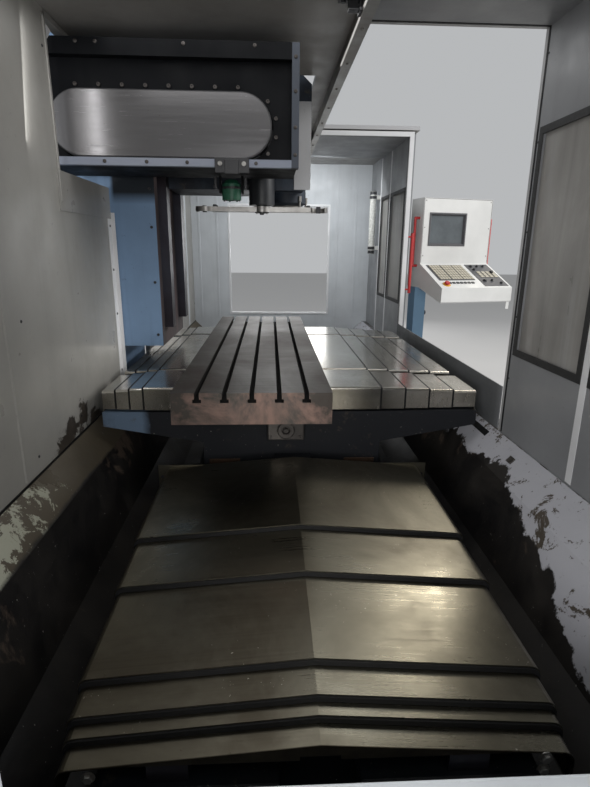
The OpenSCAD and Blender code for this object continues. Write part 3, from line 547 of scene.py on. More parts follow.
def frame_ring(bm, lo, hi, width, chamfer):
    """A rectangular ring in the X-Z plane, mitred at its corners and with broken edges."""
    (x0, y0, z0), (x1, y1, z1) = lo, hi
    broken = y1 - chamfer if y1 > y0 else y1 + chamfer
    steps = [(0, y0), (0, broken), (chamfer, y1), (width - chamfer, y1), (width, broken), (width, y0)]
    rings = [[bm.verts.new((x, y, z)) for x, z in rectangle(x0, z0, x1, z1, inset)] for inset, y in steps]
    for low, high in zip(rings, rings[1:] + rings[:1]):
        join(bm, low, high)


def sheet_strip(bm, points, x0, x1, axis=0):
    """A closed outline drawn out along X or Y."""
    first, last = [[bm.verts.new(corner(p, x, axis)) for p in points] for x in (x0, x1)]
    join(bm, first, last)
    bm.faces.new(first)
    bm.faces.new(last[::-1])


def add(name, data):
    o = bpy.data.objects.new(name, data)
    SCENE.collection.objects.link(o)
    return o


def piece(name, look, body, fill, place=None):
    """A new piece on a body: fill draws its mesh."""
    bm = bmesh.new()
    fill(bm)
    if place is not None:
        bm.transform(place)
    bmesh.ops.recalc_face_normals(bm, faces=bm.faces)
    mesh = bpy.data.meshes.new(name)
    bm.to_mesh(mesh)
    bm.free()
    mesh.materials.append(look)
    o = add(name, mesh)
    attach(o, body)


UP, DOWN, NEAR = (0, 0, 1), (0, 0, -1), (-1, 0, 0)
PAN = [(0, 0.5), (0.28, 0.5), (0.34, 0.95), (0.7, 0.8), (1, 0.35), (1, 0)]
SOCKET = [(0, 0.35), (0.5, 0.35), (0.55, 1), (0.92, 1), (1, 0.9), (1, 0)]


def screws(name, look, body, places, axis, radius=0.007, height=0.004, head=PAN, place=None):
    """A row of screw heads that stand on a surface, all turned the same way."""
    profile = [(r * radius, h * height) for r, h in head]

    def fill(bm):
        for at in places:
            lathe(bm, at, axis, profile, 14)
    piece(name, look, body, fill, place)


# Rubber wipers under the lips of the telescopic covers

SHEET = 0.003
CLEAR = 0.0006
ROW_SKIN = 0.0008
# The Y cover wipers are drawn 9 mm wide to take in the shadow of each step: black rubber and painted shade.
X_WIPER_W, Y_WIPER_AND_SHADE_W = 0.006, 0.009
SHOULDER = 0.030
RIDGE_RISE = 0.045
STEP_Y = HI["x_cover_near_2"][1] - HI["x_cover_near_1"][1]
STEP_Z = HI["x_cover_near_2"][2] - HI["x_cover_near_1"][2]


def arc(cx, cy, r, a0, a1, steps):
    return [on_circle(r, a0 + (a1 - a0) * i / steps, (cx, cy)) for i in range(steps + 1)]


def hood_outline(k, inset, bottom):
    """Outline of the k-th X cover's outer face, moved inwards."""
    half = HI["x_cover_near_1"][1] + STEP_Y * (k - 1) - inset
    ridge = HI["x_cover_near_1"][2] + STEP_Z * (k - 1) - inset
    eaves, r = ridge - RIDGE_RISE, SHOULDER - inset
    return ([(half, bottom)] + arc(half - r, eaves - r, r, 0, 90, 6) + [(0, ridge)]
            + arc(r - half, eaves - r, r, 90, 180, 6) + [(-half, bottom)])


def x_wiper(name, k, lip_x, way):
    bottom = LO["x_cover_near_1"][2] + 0.001
    outer, inner = hood_outline(k, SHEET, bottom), hood_outline(k - 1, -CLEAR, bottom)
    piece("wiper_" + name, RUBBER, BODY_OF[name],
          lambda bm: band(bm, outer, inner, lip_x - X_WIPER_W * way, lip_x))


for k in range(2, 7):
    x_wiper(f"x_cover_near_{k}", k, LO[f"x_cover_near_{k}"][0], 1)
for k in range(2, 5):
    x_wiper(f"x_cover_far_{k}", k + 2, HI[f"x_cover_far_{k}"][0], -1)

ROW_W = 0.375
ROW_GAP = 0.024
ROW_STEP = HI["y_cover_front_1"][2] - HI["y_cover_front_2"][2]
ROW_R = 0.010


def row_outline(x0, x1, top, bottom, inset):
    """Outline of one row's hood, moved inwards."""
    x0, x1, top, r = x0 + inset, x1 - inset, top - inset, ROW_R
    corners = arc(x1 - r, top - r, r, 0, 90, 5) + arc(x0 + r, top - r, r, 90, 180, 5)
    return [(x1, bottom)] + corners + [(x0, bottom)]


def y_wiper(name, k, lip_y, way):
    first, last = LO["y_cover_front_1"][0], HI["y_cover_front_1"][0]
    inside = (first + ROW_W + ROW_GAP, last - ROW_W - ROW_GAP)
    rows = ((first, first + ROW_W), inside, (last - ROW_W, last))
    top = HI["y_cover_front_1"][2] - ROW_STEP * (k - 1)
    bottom = LO["y_cover_front_1"][2] + 0.001

    def fill(bm):
        for x0, x1 in rows:
            a, b = x0 + ROW_STEP * (k - 1), x1 - ROW_STEP * (k - 1)
            outer = row_outline(a, b, top, bottom, ROW_SKIN)
            inner = row_outline(a, b, top, bottom, ROW_STEP - CLEAR)
            band(bm, outer, inner, lip_y - Y_WIPER_AND_SHADE_W * way, lip_y, 1)
    piece("wiper_" + name, RUBBER, BODY_OF[name], fill)


for k in range(1, 5):
    y_wiper(f"y_cover_front_{k}", k, LO[f"y_cover_front_{k}"][1], 1)
for k in range(1, 4):
    y_wiper(f"y_cover_rear_{k}", k, HI[f"y_cover_rear_{k}"][1], -1)


def end_bolts(bm):
    """Hexagon heads on washers, on the end plate of the nearest cover."""
    radius, washer = 0.011, 0.002
    for y, z in ((0.495, 0.472), (-0.499, 0.480), (-0.497, 0.446)):
        at = (LO["x_cover_near_1"][0], y, z)
        lathe(bm, at, NEAR, [(0, 0), (radius * 1.35, 0), (radius * 1.35, washer), (radius, washer)], 24)
        lathe(bm, at, NEAR, [(radius, washer), (radius, 0.008), (radius * 0.86, 0.0095), (0, 0.0095)], 6)


piece("cover_end_bolts", GROUND, BODY_OF["x_cover_near_1"], end_bolts)
flange_x = HI["x_cover_near_6"][0]
screws("cover_flange_screws", DARK, BODY_OF["x_cover_near_6"],
       [(flange_x - 0.006, side * 0.607, z) for side in (-1, 1) for z in (0.44, 0.53)], NEAR)

# Column and head

screws("column_screws", DARK, "frame",
       [(LO["column"][0], COLUMN_FRONT + 0.028, z) for z in (1.06, 1.36, 1.66, 1.86)],
       NEAR, 0.008, 0.005, SOCKET)
cover_x = LO["head"][0] + 0.082
piece("head_side_cover", HEAD_GREY, "head",
      lambda bm: block(bm, (cover_x, -0.129, 1.88), (cover_x + 0.003, -0.035, 2.34), 0.0012))


def nozzles(bm):
    profile = [(0, 0), (0.011, 0), (0.011, 0.03), (0.007, 0.034), (0.007, 0.062), (0.003, 0.078), (0, 0.078)]
    for x, y in ((-0.09, -0.075), (0.02, -0.118), (0.095, -0.07)):
        lathe(bm, (x, y, HI["spindle"][2] - 0.19), DOWN, profile, 16)


def spindle_ring(bm):
    profile = [(0.0655, 0), (0.088, 0), (0.090, 0.002), (0.090, 0.004), (0.0655, 0.004), (0.0655, 0)]
    lathe(bm, (0, 0, LO["spindle"][2] + 0.011), UP, profile, 48)


# Magazine and changer

panel_x = MAG_X + 0.044
plate_mid = (PLATE_TOP + PLATE_LOW) / 2
plate_end = LO["magazine_plate"][1] + 0.128
rim_r = (PLATE_TOP - PLATE_LOW) / 2 + 0.028
rim = [(panel_x, 0.24 + 0.0985 * i, plate_mid + side * rim_r) for side in (1, -1) for i in range(8)]
rim += [(panel_x, *on_circle(rim_r, 180 - a, (plate_end, plate_mid))) for a in (-42, -14, 14, 42)]
screws("magazine_rim_bolts", BOLT, "frame", rim, NEAR, 0.0085, 0.007, SOCKET)
BAR_MID = 0.016
bar_foot = PLATE_LOW - 0.039
screws("magazine_bar_screws", BOLT, "frame",
       [(MAG_X, y, HI["magazine_frame"][2] - BAR_MID) for y in (0.90, 0.82, 0.46, 0.165)]
       + [(MAG_X, y, bar_foot + BAR_MID) for y in (0.82, 0.64, 0.465, 0.165)]
       + [(MAG_X, MAG_Y + BAR_MID, z) for z in (2.33, 2.20, 2.06, 1.95)], NEAR, 0.008, 0.004)

pot_x, pot_y = middle("ready_pot")
pot_low = LO["ready_pot"][2]


def pot_collar(bm):
    """Ring round the pot, and six screws in its lower face."""
    bore, top = 0.0482, 0.012
    ring = [(bore, 0), (0.051, 0), (0.0525, 0.002), (0.0525, 0.010), (0.051, top), (bore, top), (bore, 0)]
    head = [(0, 0.003), (0.0022, 0.003), (0.0024, 0.005), (0.0045, 0.005), (0.0045, 0)]
    lathe(bm, (pot_x, pot_y, pot_low + 0.052), UP, ring, 40)
    for i in range(6):
        lathe(bm, (*on_circle(0.039, 60 * i + 20, (pot_x, pot_y)), pot_low), DOWN, head, 12)


piece("pot_collar", DARK, "ready_pot", pot_collar)


def pot_bracket(bm):
    """Plate on the magazine's lower bar, and a cheek at each side of the ready pot."""
    face, foot = MAG_X - 0.010, bar_foot
    block(bm, (face, pot_y - 0.105, foot - 0.025), (MAG_X, pot_y + 0.045, foot + 0.038), 0.003)
    block(bm, (face - 0.006, pot_y - 0.060, foot - 0.030), (face, pot_y + 0.002, foot + 0.030), 0.003)
    for side in (-1, 1):
        y = sorted((pot_y + side * 0.068, pot_y + side * 0.080))
        block(bm, (pot_x - 0.070, y[0], foot - 0.060), (pot_x - 0.030, y[1], foot), 0.002)
        recessed(bm, (pot_x - 0.050, pot_y + side * 0.080, foot - 0.044), (0, side, 0),
                 0.009, 0.007, 0.005, 0.004, 18)


def bracket_bolts(bm):
    for y in (pot_y - 0.082, pot_y + 0.022):
        profile = [(r * 0.010, z * 0.009) for r, z in SOCKET]
        lathe(bm, (MAG_X - 0.010, y, bar_foot + 0.012), NEAR, profile, 18)


piece("bracket_bolts", STEEL, "frame", bracket_bolts)
piece("pot_bracket", DARK, "frame", pot_bracket)

arm_x, arm_y = middle("changer_arm")
arm_low, arm_high = LO["changer_arm"][2], HI["changer_arm"][2]
arm_reach = (HI["changer_arm"][1] - LO["changer_arm"][1]) / 2 - 0.056


def arm_jaws(bm):
    """A pair of studs and a latch at each end of the arm, and the cap of its hub."""
    for side in (-1, 1):
        for x in (-0.030, 0.030):
            lathe(bm, (arm_x + x, arm_y + side * (arm_reach - 0.055), arm_high - 0.004), UP,
                  [(0, 0), (0.011, 0), (0.011, 0.008), (0.009, 0.011), (0, 0.011)], 18)
        latch_y = arm_y + side * arm_reach
        block(bm, (arm_x - 0.050, latch_y - 0.012, arm_low - 0.006),
              (arm_x - 0.036, latch_y + 0.012, arm_high), 0.002)
    cap = [(0, 0), (0.040, 0), (0.040, 0.004), (0.030, 0.006), (0.012, 0.006), (0.012, 0.014), (0, 0.014)]
    lathe(bm, (arm_x, arm_y, arm_low), DOWN, cap, 28)


piece("arm_jaws", DARK, "changer_arm", arm_jaws)
screws("arm_cap_bolts", STEEL, "changer_arm",
       [(*on_circle(0.033, 60 * i, (arm_x, arm_y)), arm_low - 0.004) for i in range(6)],
       DOWN, 0.0045, 0.004, SOCKET)
piece("spindle_nozzles", STEEL, "head", nozzles)
piece("spindle_ring", STEEL, "head", spindle_ring)

# Walls and roof

wall_end = HI["rear_wall_near"][0]


def end_strip(bm):
    """White angle on the free end of the near rear wall."""
    low, high, lip = 0.80, 1.733, WALL_Y - 0.024
    outline = [(WALL_Y, low), (lip, low), (lip, high), (WALL_Y, high)]
    sheet_strip(bm, outline, wall_end - 0.004, wall_end - 0.002)
    block(bm, (wall_end - 0.058, WALL_Y - 0.003, low), (wall_end - 0.002, WALL_Y, high), 0.001)


piece("wall_end_strip", EDGE_WHITE, "frame", end_strip)
screws("wall_end_screws", DARK, "frame",
       [(wall_end - 0.032, WALL_Y - 0.003, z) for z in (0.86, 1.187, 1.43, 1.663)], (0, -1, 0), 0.007, 0.004)


def seam(bm, x0, x1):
    """A lapped strip of sheet up a rear wall."""
    heights, sheet = (CHANNEL_Z + 0.012, ROOF_LOW - 0.02), 0.004
    profile = [(x0, 0), (x0 + 0.006, sheet), (x1 - 0.006, sheet), (x1, 0)]
    rows = [[bm.verts.new((x, WALL_Y - d, z)) for x, d in profile] for z in heights]
    for i in range(3):
        bm.faces.new((rows[0][i], rows[0][i + 1], rows[1][i + 1], rows[1][i]))
    back = [[bm.verts.new((x, WALL_Y + 0.0005, z)) for x in (x0, x1)] for z in heights]
    bm.faces.new((rows[0][0], back[0][0], back[0][1], *rows[0][:0:-1]))
    bm.faces.new((rows[1][0], back[1][0], back[1][1], *rows[1][:0:-1]))
    bm.faces.new((rows[0][0], rows[1][0], back[1][0], back[0][0]))
    bm.faces.new((rows[0][-1], rows[1][-1], back[1][1], back[0][1]))


piece("wall_seam", WALL_LOW, "frame", lambda bm: seam(bm, -1.672, -1.580))
piece("far_wall_seam", WHITE, "frame",
      lambda bm: [seam(bm, x, x + 0.07) for x in (1.52, 2.25)])
screws("wall_screws", DARK, "frame",
       [(-1.545, WALL_Y, z) for z in (0.79, 1.30, 1.95)] + [(-2.45, WALL_Y, z) for z in (0.95, 1.6, 2.25)]
       + [(-1.08, WALL_Y, z) for z in (0.80, 2.30)], (0, -1, 0), 0.006, 0.0035)


def foot_seal(bm):
    for wall in ("rear_wall_near", "rear_wall_far"):
        block(bm, (LO[wall][0], WALL_Y - 0.006, CHANNEL_Z - 0.005),
              (HI[wall][0], WALL_Y - 0.0003, CHANNEL_Z + 0.003), 0.001)


piece("wall_foot_seal", RUBBER, "frame", foot_seal)
hole_x = MAG_X - 0.105


def gusset(bm):
    """Small triangle of sheet at the upper corner of the wall's opening."""
    corners = [(hole_x - 0.012, 2.395), (hole_x + 0.055, 2.380), (hole_x + 0.004, 2.335)]
    sheet_strip(bm, corners, WALL_Y - 0.004, WALL_Y + 0.0005, 1)


piece("wall_gusset", EDGE_WHITE, "frame", gusset)


def hole_rim(bm):
    """Folded rim beside and above the opening that the magazine stands in."""
    low, high, width, face = 1.735, 2.410, 0.016, WALL_Y - 0.007
    block(bm, (hole_x - width, face, low), (hole_x, WALL_Y, high + width), 0.002)
    block(bm, (hole_x - width, face, high), (-0.02, WALL_Y, high + width), 0.002)


piece("wall_hole_rim", WALL, "frame", hole_rim)


def port_rim(bm, x0, x1, bottom):
    """Folded flange round an end wall's port, on its inner side."""
    half, top, width = 0.555, 2.003, 0.02
    outer = half + width
    for y0, z0, y1, z1 in ((-outer, bottom - width, outer, bottom), (-outer, top, outer, top + width),
                           (-outer, bottom, -half, top), (half, bottom, outer, top)):
        block(bm, (x0, y0, z0), (x1, y1, z1), 0.0015)


far_x, near_end = LO["end_wall_far"][0], HI["end_wall_near"][0]
piece("far_port_rim", EDGE_WHITE, "frame",
      lambda bm: port_rim(bm, far_x - 0.006, far_x, 0.823))
piece("near_port_rim", WHITE, "frame",
      lambda bm: port_rim(bm, near_end, near_end + 0.006, 0.665))


def far_folds(bm):
    for y in (-0.66, -0.865, 0.70, 0.90):
        block(bm, (far_x - 0.005, y - 0.012, 0.76), (far_x, y + 0.012, ROOF_LOW - 0.03), 0.002)


piece("far_wall_folds", WHITE, "frame", far_folds)
screws("roof_screws", DARK, "frame",
       [(x, y, ROOF_LOW) for x in (-2.5, -1.9, -1.3, 1.3, 2.0) for y in (0.2, 0.9, -0.19)]
       + [(x, -0.9, ROOF_LOW) for x in (-2.5, -1.9, 1.5, 2.2)], DOWN, 0.007, 0.004)

# Door rail, doors and their channel


def rail_bracket(bm):
    """Angle under the roof at each end of the rail, with a gusset block and its bolts."""
    y, z = HI["door_rail"][1], ROOF_LOW
    for x in (-1.24, 1.12):
        block(bm, (x, y, z - 0.052), (x + 0.060, y + 0.010, z - 0.004), 0.002)
        block(bm, (x, y, z - 0.010), (x + 0.060, y + 0.085, z), 0.002)
        block(bm, (x + 0.012, y + 0.010, z - 0.046), (x + 0.048, y + 0.050, z - 0.010), 0.004)
        lathe(bm, (x + 0.030, y + 0.068, z - 0.010), DOWN,
              [(0.011, 0), (0.011, 0.008), (0.009, 0.0095), (0, 0.0095)], 6)
        for dx in (0.014, 0.046):
            recessed(bm, (x + dx, y + 0.010, z - 0.028), (0, 1, 0), 0.008, 0.007, 0.004, 0.004, 14)


piece("rail_brackets", DARK, "frame", rail_bracket)
screws("rail_bolts", STEEL, "frame",
       [(-1.9 + 0.4 * i, LO["door_rail"][1] + 0.024, LO["door_rail"][2]) for i in range(10)],
       DOWN, 0.007, 0.005, SOCKET)

OPENING = (-1.105, 0.970)
LEAF_WAY = {"near": (OPENING[0], -1), "far": (OPENING[1], 1)}
LEAF_L = (OPENING[1] - OPENING[0]) / 2
LEAF_LOW, LEAF_TOP = LO["door_leaf_near"][2], HI["door_leaf_near"][2]
LEAF_UNDER = LEAF_TOP - (LEAF_IN - LEAF_OUT)
RIM_W, WINDOW_W, MULLION_W, SEAL_W = 0.075, 0.482, 0.090, 0.024
PANES = ((RIM_W, RIM_W + WINDOW_W), (RIM_W + WINDOW_W + MULLION_W, LEAF_L - RIM_W))
PANE_LOW, PANE_HIGH = LO["door_glass_near"][2], HI["door_glass_near"][2]
ROOF_EDGE = -0.246


def along(side, a, b):
    """Two distances from a leaf's leading edge, as places in X."""
    lead, way = LEAF_WAY[side]
    return sorted((lead + way * a, lead + way * b))


def leading_edge(bm, side):
    outline = [(LEAF_IN, LEAF_LOW), (LEAF_IN, LEAF_UNDER), (ROOF_EDGE, LEAF_UNDER),
               (ROOF_EDGE, LEAF_TOP), (LEAF_OUT, LEAF_TOP), (LEAF_OUT, LEAF_LOW)]
    sheet_strip(bm, outline, *along(side, -0.001, 0))


def gaskets(bm, side):
    for a, b in PANES:
        x0, x1 = along(side, a - SEAL_W, b + SEAL_W)
        for face, proud in ((LEAF_IN, 0.004), (LEAF_OUT, -0.004)):
            frame_ring(bm, (x0, face, PANE_LOW - SEAL_W), (x1, face + proud, PANE_HIGH + SEAL_W),
                       SEAL_W + 0.006, 0.0015)


def border(bm, side, a, b):
    """A strip up the leaf's inner face and along the underside of its roof part."""
    proud = 0.0018
    face, under = LEAF_IN + proud, LEAF_UNDER - proud
    outline = [(LEAF_IN, LEAF_LOW + 0.01), (face, LEAF_LOW + 0.01), (face, under),
               (ROOF_EDGE, under), (ROOF_EDGE, LEAF_UNDER), (LEAF_IN, LEAF_UNDER)]
    sheet_strip(bm, outline, *along(side, a, b))


def posts(bm, side):
    """Two flat strips up the leaf: between its windows, and at its rear end."""
    mullion = PANES[0][1] + SEAL_W + 0.002
    for a, b in ((mullion, mullion + MULLION_W - 2 * SEAL_W - 0.004), (LEAF_L - 0.040, LEAF_L - 0.004)):
        x0, x1 = along(side, a, b)
        block(bm, (x0, LEAF_IN, LEAF_LOW + 0.012), (x1, LEAF_IN + 0.0018, LEAF_UNDER - 0.004), 0.0006)


for side in LEAF_WAY:
    body, leaf = "door_" + side, "door_leaf_" + side
    piece("leading_edge_" + side, EDGE_WHITE, body, lambda bm: leading_edge(bm, side))
    piece("window_gaskets_" + side, GASKET, body, lambda bm: gaskets(bm, side))
    piece("leaf_border_" + side, EDGE_GREY, body, lambda bm: border(bm, side, 0.0012, 0.022))
    piece("leaf_seal_" + side, RUBBER, body, lambda bm: border(bm, side, 0.0225, 0.034))
    piece("leaf_posts_" + side, EDGE_WHITE, body, lambda bm: posts(bm, side))
    screws("leaf_screws_" + side, DARK, body,
           [(along(side, 0.041, 0.041)[0], LEAF_IN, z) for z in (0.99, 1.27, 1.63, 1.98, 2.30)],
           (0, 1, 0), 0.005, 0.0018)


def channel_clips(bm):
    low = CHANNEL_Z - 0.006
    for x in (-2.45, -1.86, -1.31, -1.20):
        recessed(bm, (x, -1.008, low), UP, 0.009, 0.006, 0.004, 0.003, 16)
    block(bm, (-1.300, -1.026, low), (-1.225, -0.992, CHANNEL_Z - 0.0005), 0.001)


piece("channel_clips", DARK, "frame", channel_clips)


def on_apron(bm, x0, x1, y, depth, lift, chamfer):
    """A low block on the right hand apron, which slopes at 45 degrees."""
    tilt = Matrix.Translation((0, -0.98, CHANNEL_Z)) @ Matrix.Rotation(radians(-45), 4, "X")
    block(bm, (x0, y, -0.0005), (x1, y + depth, lift), chamfer, tilt)


piece("apron_slot", RUBBER, "frame",
      lambda bm: on_apron(bm, -1.075, -0.745, 0.030, 0.030, 0.0022, 0.0005))
piece("apron_clip", BOLT, "frame",
      lambda bm: on_apron(bm, -1.39, -1.35, 0.050, 0.030, 0.006, 0.0015))


def lamp_clamps(bm):
    """Two clamps round the lamp's tube and a cap on each of its ends."""
    x, y = middle("work_lamp")[0], HI["work_lamp"][1] - 0.032
    bore, top = 0.0322, 0.028
    clamp = [(bore, 0), (0.036, 0), (0.037, 0.003), (0.037, 0.025), (0.036, top), (bore, top), (bore, 0)]
    cap = [(bore, -0.012), (0.034, -0.012), (0.034, 0.018), (0.028, 0.0218), (0, 0.0218)]
    ends = ((LO["work_lamp"][2], 1), (HI["work_lamp"][2], -1))
    for z, up in ends:
        lathe(bm, (x, y, z + 0.06 * up - top / 2), UP, clamp, 32)
    for z, up in ends:
        lathe(bm, (x, y, z + 0.022 * up), (0, 0, -up), cap, 32)


piece("lamp_clamps", DARK, "frame", lamp_clamps)

# Under the table

saddle_x = LO["saddle"][0]
way_x = saddle_x + 0.0705


def screw_housing(bm):
    """Flange round the X ball screw, with six bolts."""
    screw_z, depth = 0.475, 0.018
    profile = [(0.027, 0), (0.056, 0), (0.058, 0.003), (0.058, 0.014), (0.054, depth), (0.030, depth),
               (0.027, 0.015), (0.027, 0)]
    lathe(bm, (saddle_x, 0, screw_z), NEAR, profile, 40)
    for i in range(6):
        recessed(bm, (saddle_x - depth, *on_circle(0.044, 60 * i + 30, (0, screw_z))), NEAR,
                 0.006, 0.006, 0.003, 0.003, 12)


piece("screw_housing", STEEL, "saddle", screw_housing)


def screw_support(bm):
    """Bearing block under the table, with its cap, its nut and four bolts."""
    face = saddle_x + 0.035
    cap = [(0.016, 0), (0.040, 0), (0.041, 0.002), (0.041, 0.009), (0.037, 0.012), (0.020, 0.012),
           (0.016, 0.008), (0.016, 0)]
    nut = [(0, 0.001), (0.012, 0.001), (0.012, 0.010), (0.010, 0.012), (0, 0.012)]
    block(bm, (face, -0.055, 0.665), (way_x, 0.120, 0.795), 0.006)
    lathe(bm, (face, 0.032, 0.718), NEAR, cap, 36)
    lathe(bm, (face, 0.032, 0.718), NEAR, nut, 6)
    for y in (-0.038, 0.103):
        for z in (0.685, 0.775):
            recessed(bm, (face, y, z), NEAR, 0.008, 0.007, 0.004, 0.003, 14)


piece("screw_support", BOLT, "saddle", screw_support)


def way_wipers(bm):
    face = saddle_x + 0.066
    for y in (-0.33, 0.33):
        block(bm, (face, y - 0.075, 0.497), (way_x, y + 0.075, 0.560), 0.002)
        for dy in (-0.06, 0.06):
            recessed(bm, (face, y + dy, 0.545), NEAR, 0.008, 0.006, 0.004, 0.003, 14)


piece("way_wipers", RUST, "saddle", way_wipers)

# Console: its frame stands below the face, turned towards the door

CONSOLE = Matrix.Translation((1.188, -1.498, 0)) @ Matrix.Rotation(radians(14.3), 4, "Z")
HALF_W, CONSOLE_TOP = 0.668 / 2, 1.967
DESK_L, DESK_Z, DESK_FALL = 0.367, 1.433, 0.179
SCREEN_Y, SCREEN_Z = (-0.086, 0.274), (1.581, 1.851)
# On the desk: x runs down the slope from the face, y to the operator's left, z out of the desk
slope = atan2(DESK_FALL, DESK_L)
tilt = Matrix.Rotation(pi - slope, 4, "Y") @ Matrix.Diagonal((1, 1, -1, 1))
DESK = CONSOLE @ Matrix.Translation((0, 0, DESK_Z)) @ tilt


def bezel(bm):
    y0, y1 = SCREEN_Y
    z0, z1 = SCREEN_Z
    back = 0.0138
    steps = [(0, 0), (0, -0.003), (0.003, -0.005), (0.012, -0.005), (0.024, 0.012), (0.024, back), (0, back)]
    rings = [[bm.verts.new((x, *p)) for p in rectangle(y0, z0, y1, z1, inset)] for inset, x in steps]
    for low, high in zip(rings, rings[1:] + rings[:1]):
        join(bm, low, high)


def keys(bm):
    """Three groups of four columns, in six rows."""
    for row in range(6):
        x = 0.040 + 0.040 * row
        for group_y in (0.275, 0.163, 0.055):
            for column in range(4):
                y = group_y - 0.0255 * column
                block(bm, (x, y - 0.0215, 0.003), (x + 0.033, y, 0.0085), 0.0022)


def panel_parts(bm):
    """Round buttons on the side panel, and a row of rocker switches under the keys."""
    for x, y, r in ((0.060, -0.130, 0.016), (0.060, -0.190, 0.012), (0.060, -0.250, 0.012),
                    (0.115, -0.130, 0.014), (0.300, -0.130, 0.018), (0.300, -0.200, 0.013),
                    (0.345, -0.265, 0.013)):
        profile = [(r, 0), (r, 0.003), (r * 0.8, 0.004), (r * 0.72, 0.014), (r * 0.6, 0.016), (0, 0.016)]
        lathe(bm, (x, y, 0.003), UP, profile, 24)
    for i in range(7):
        y = 0.205 - 0.036 * i
        block(bm, (0.318, y, 0.0002), (0.340, y + 0.024, 0.007), 0.002)


def panel_keys(bm):
    for i in range(3):
        for j in range(4):
            x, y = 0.150 + 0.034 * i, -0.300 + 0.045 * j
            block(bm, (x, y, 0.003), (x + 0.026, y + 0.032, 0.008), 0.002)


def stop_ring(bm):
    bore, height = 0.0135, 0.003
    lathe(bm, (0.95 * DESK_L, HALF_W - 0.075, 0.0002), UP,
          [(bore, 0), (0.034, 0), (0.034, 0.0015), (0.031, height), (bore, height), (bore, 0)], 36)


def tab(bm):
    front_z = DESK_Z - DESK_FALL
    block(bm, (-DESK_L + 0.006, -HALF_W + 0.010, front_z - 0.178),
          (-DESK_L + 0.012, -HALF_W + 0.040, front_z - 0.110), 0.0015)


def post_knob(bm):
    profile = [(0.008, 0), (0.008, 0.014), (0.020, 0.016), (0.023, 0.022), (0.021, 0.034), (0, 0.037)]
    lathe(bm, (0.115, HALF_W - 0.112, 1.005), (0, -1, 0), profile, 24)


def face_trim(bm):
    """Narrow dark line along the top and the sides of the console's face."""
    proud, high = -0.0012, CONSOLE_TOP - 0.003
    block(bm, (proud, -HALF_W + 0.004, high - 0.003), (0, HALF_W - 0.004, high), 0.0004)
    for y in (-HALF_W + 0.003, HALF_W - 0.006):
        block(bm, (proud, y, DESK_Z + 0.01), (0, y + 0.003, high), 0.0004)


piece("screen_bezel", KEY_DARK, "frame", bezel, CONSOLE)
piece("key_field", KEY_DARK, "frame",
      lambda bm: block(bm, (0.026, -0.050, 0.0002), (0.285, 0.292, 0.003), 0.001), DESK)
piece("keys", KEY, "frame", keys, DESK)
piece("side_panel", KEY_DARK, "frame",
      lambda bm: block(bm, (0.020, -0.315, 0.0002), (0.385, -0.085, 0.003), 0.001), DESK)
piece("panel_buttons", DARK, "frame", panel_parts, DESK)
piece("panel_keys", KEY, "frame", panel_keys, DESK)
piece("stop_ring", YELLOW, "frame", stop_ring, DESK)
piece("desk_tab", CREAM, "frame", tab, CONSOLE)
piece("post_knob", DARK, "frame", post_knob, CONSOLE)
piece("face_trim", KEY_DARK, "frame", face_trim, CONSOLE)
screws("face_screws", STEEL, "frame",
       [(0, y, z) for y in (0.02 - HALF_W, HALF_W - 0.02) for z in (1.50, 1.73, 1.945)],
       NEAR, 0.005, 0.003, PAN, CONSOLE)

# The stage


def flat(name, size, place, look):
    mesh = bpy.data.meshes.new(name)
    x, y = size[0] / 2, size[1] / 2
    mesh.from_pydata([(-x, -y, 0), (x, -y, 0), (x, y, 0), (-x, y, 0)], [], [(0, 1, 2, 3)])
    mesh.materials.append(look)
    o = add(name, mesh)
    o.location = place
    return o


floor_look = plain("pale_floor", (0.50, 0.495, 0.49), 0.85, grain=1.5, vary=0.03)
flat("floor", (60, 60), (0, 0, -0.001), floor_look)

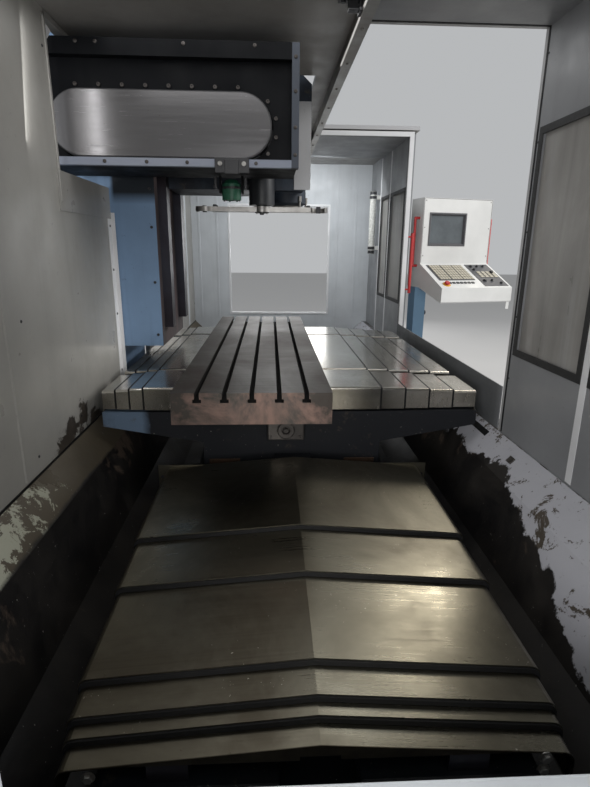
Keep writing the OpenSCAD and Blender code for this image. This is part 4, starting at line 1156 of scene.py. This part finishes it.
world = bpy.data.worlds.new("studio")
world.use_nodes = True
SCENE.world = world
background = world.node_tree.nodes["Background"]
background.inputs["Color"].default_value = (0.86, 0.88, 0.90, 1)
background.inputs["Strength"].default_value = 0.55


def lamp(name, place, target, size, power, colour=(1, 1, 1)):
    data = bpy.data.lights.new(name, "AREA")
    data.shape = "RECTANGLE"
    data.size, data.size_y = size
    data.energy = power
    data.color = colour
    o = add(name, data)
    o.location = place
    o.rotation_mode = "QUATERNION"
    o.rotation_quaternion = (Vector(target) - Vector(place)).to_track_quat("-Z", "Y")


lamp("key", (-1.5, -7.0, 5.5), (0, 0, 1.0), (5, 4), 520, (1, 0.99, 0.97))
lamp("far_light", (8.0, -0.5, 2.6), (2.7, 0, 1.2), (4, 3), 105)
lamp("low_left", (-4.9, -1.3, 1.35), (-1.8, 0.98, 0.75), (1.2, 0.8), 32)
lamp("low_right", (-4.9, 1.3, 1.35), (-1.8, -1.0, 0.75), (1.2, 0.8), 50)
lamp("table_front", (-4.7, 0.15, 2.0), (-1.6, 0.17, 0.95), (0.8, 0.6), 16)
lamp("door_light", (4.2, -3.6, 5.2), (-2.1, -0.33, 0.58), (1.5, 0.8), 48, (1, 0.93, 0.82))
lamp("inside", (-1.2, 0.0, 2.40), (-1.2, 0, 0), (1.2, 1.6), 8)
lamp("inside_far", (1.7, -0.2, 2.30), (2.6, 0.1, 1.0), (1.2, 0.3), 15, (0.95, 0.98, 1.0))
lamp("plate_strip", (-1.30, 0.955, 2.13), (-0.93, 0.84, 2.07), (0.045, 0.42), 0.35)

# The camera

camera_data = bpy.data.cameras.new("camera")
camera_data.sensor_width = 36
camera_data.lens = 520 / 787 * 36
camera = add("camera", camera_data)
camera.matrix_world = Matrix((
    (-0.04623, 0.27088, -0.96150, -3.415),
    (-0.99889, -0.00401, 0.04690, 0.105),
    (0.00885, 0.96260, 0.27077, 1.560),
    (0, 0, 0, 1),
))
SCENE.camera = camera
SCENE.view_settings.view_transform = "Standard"
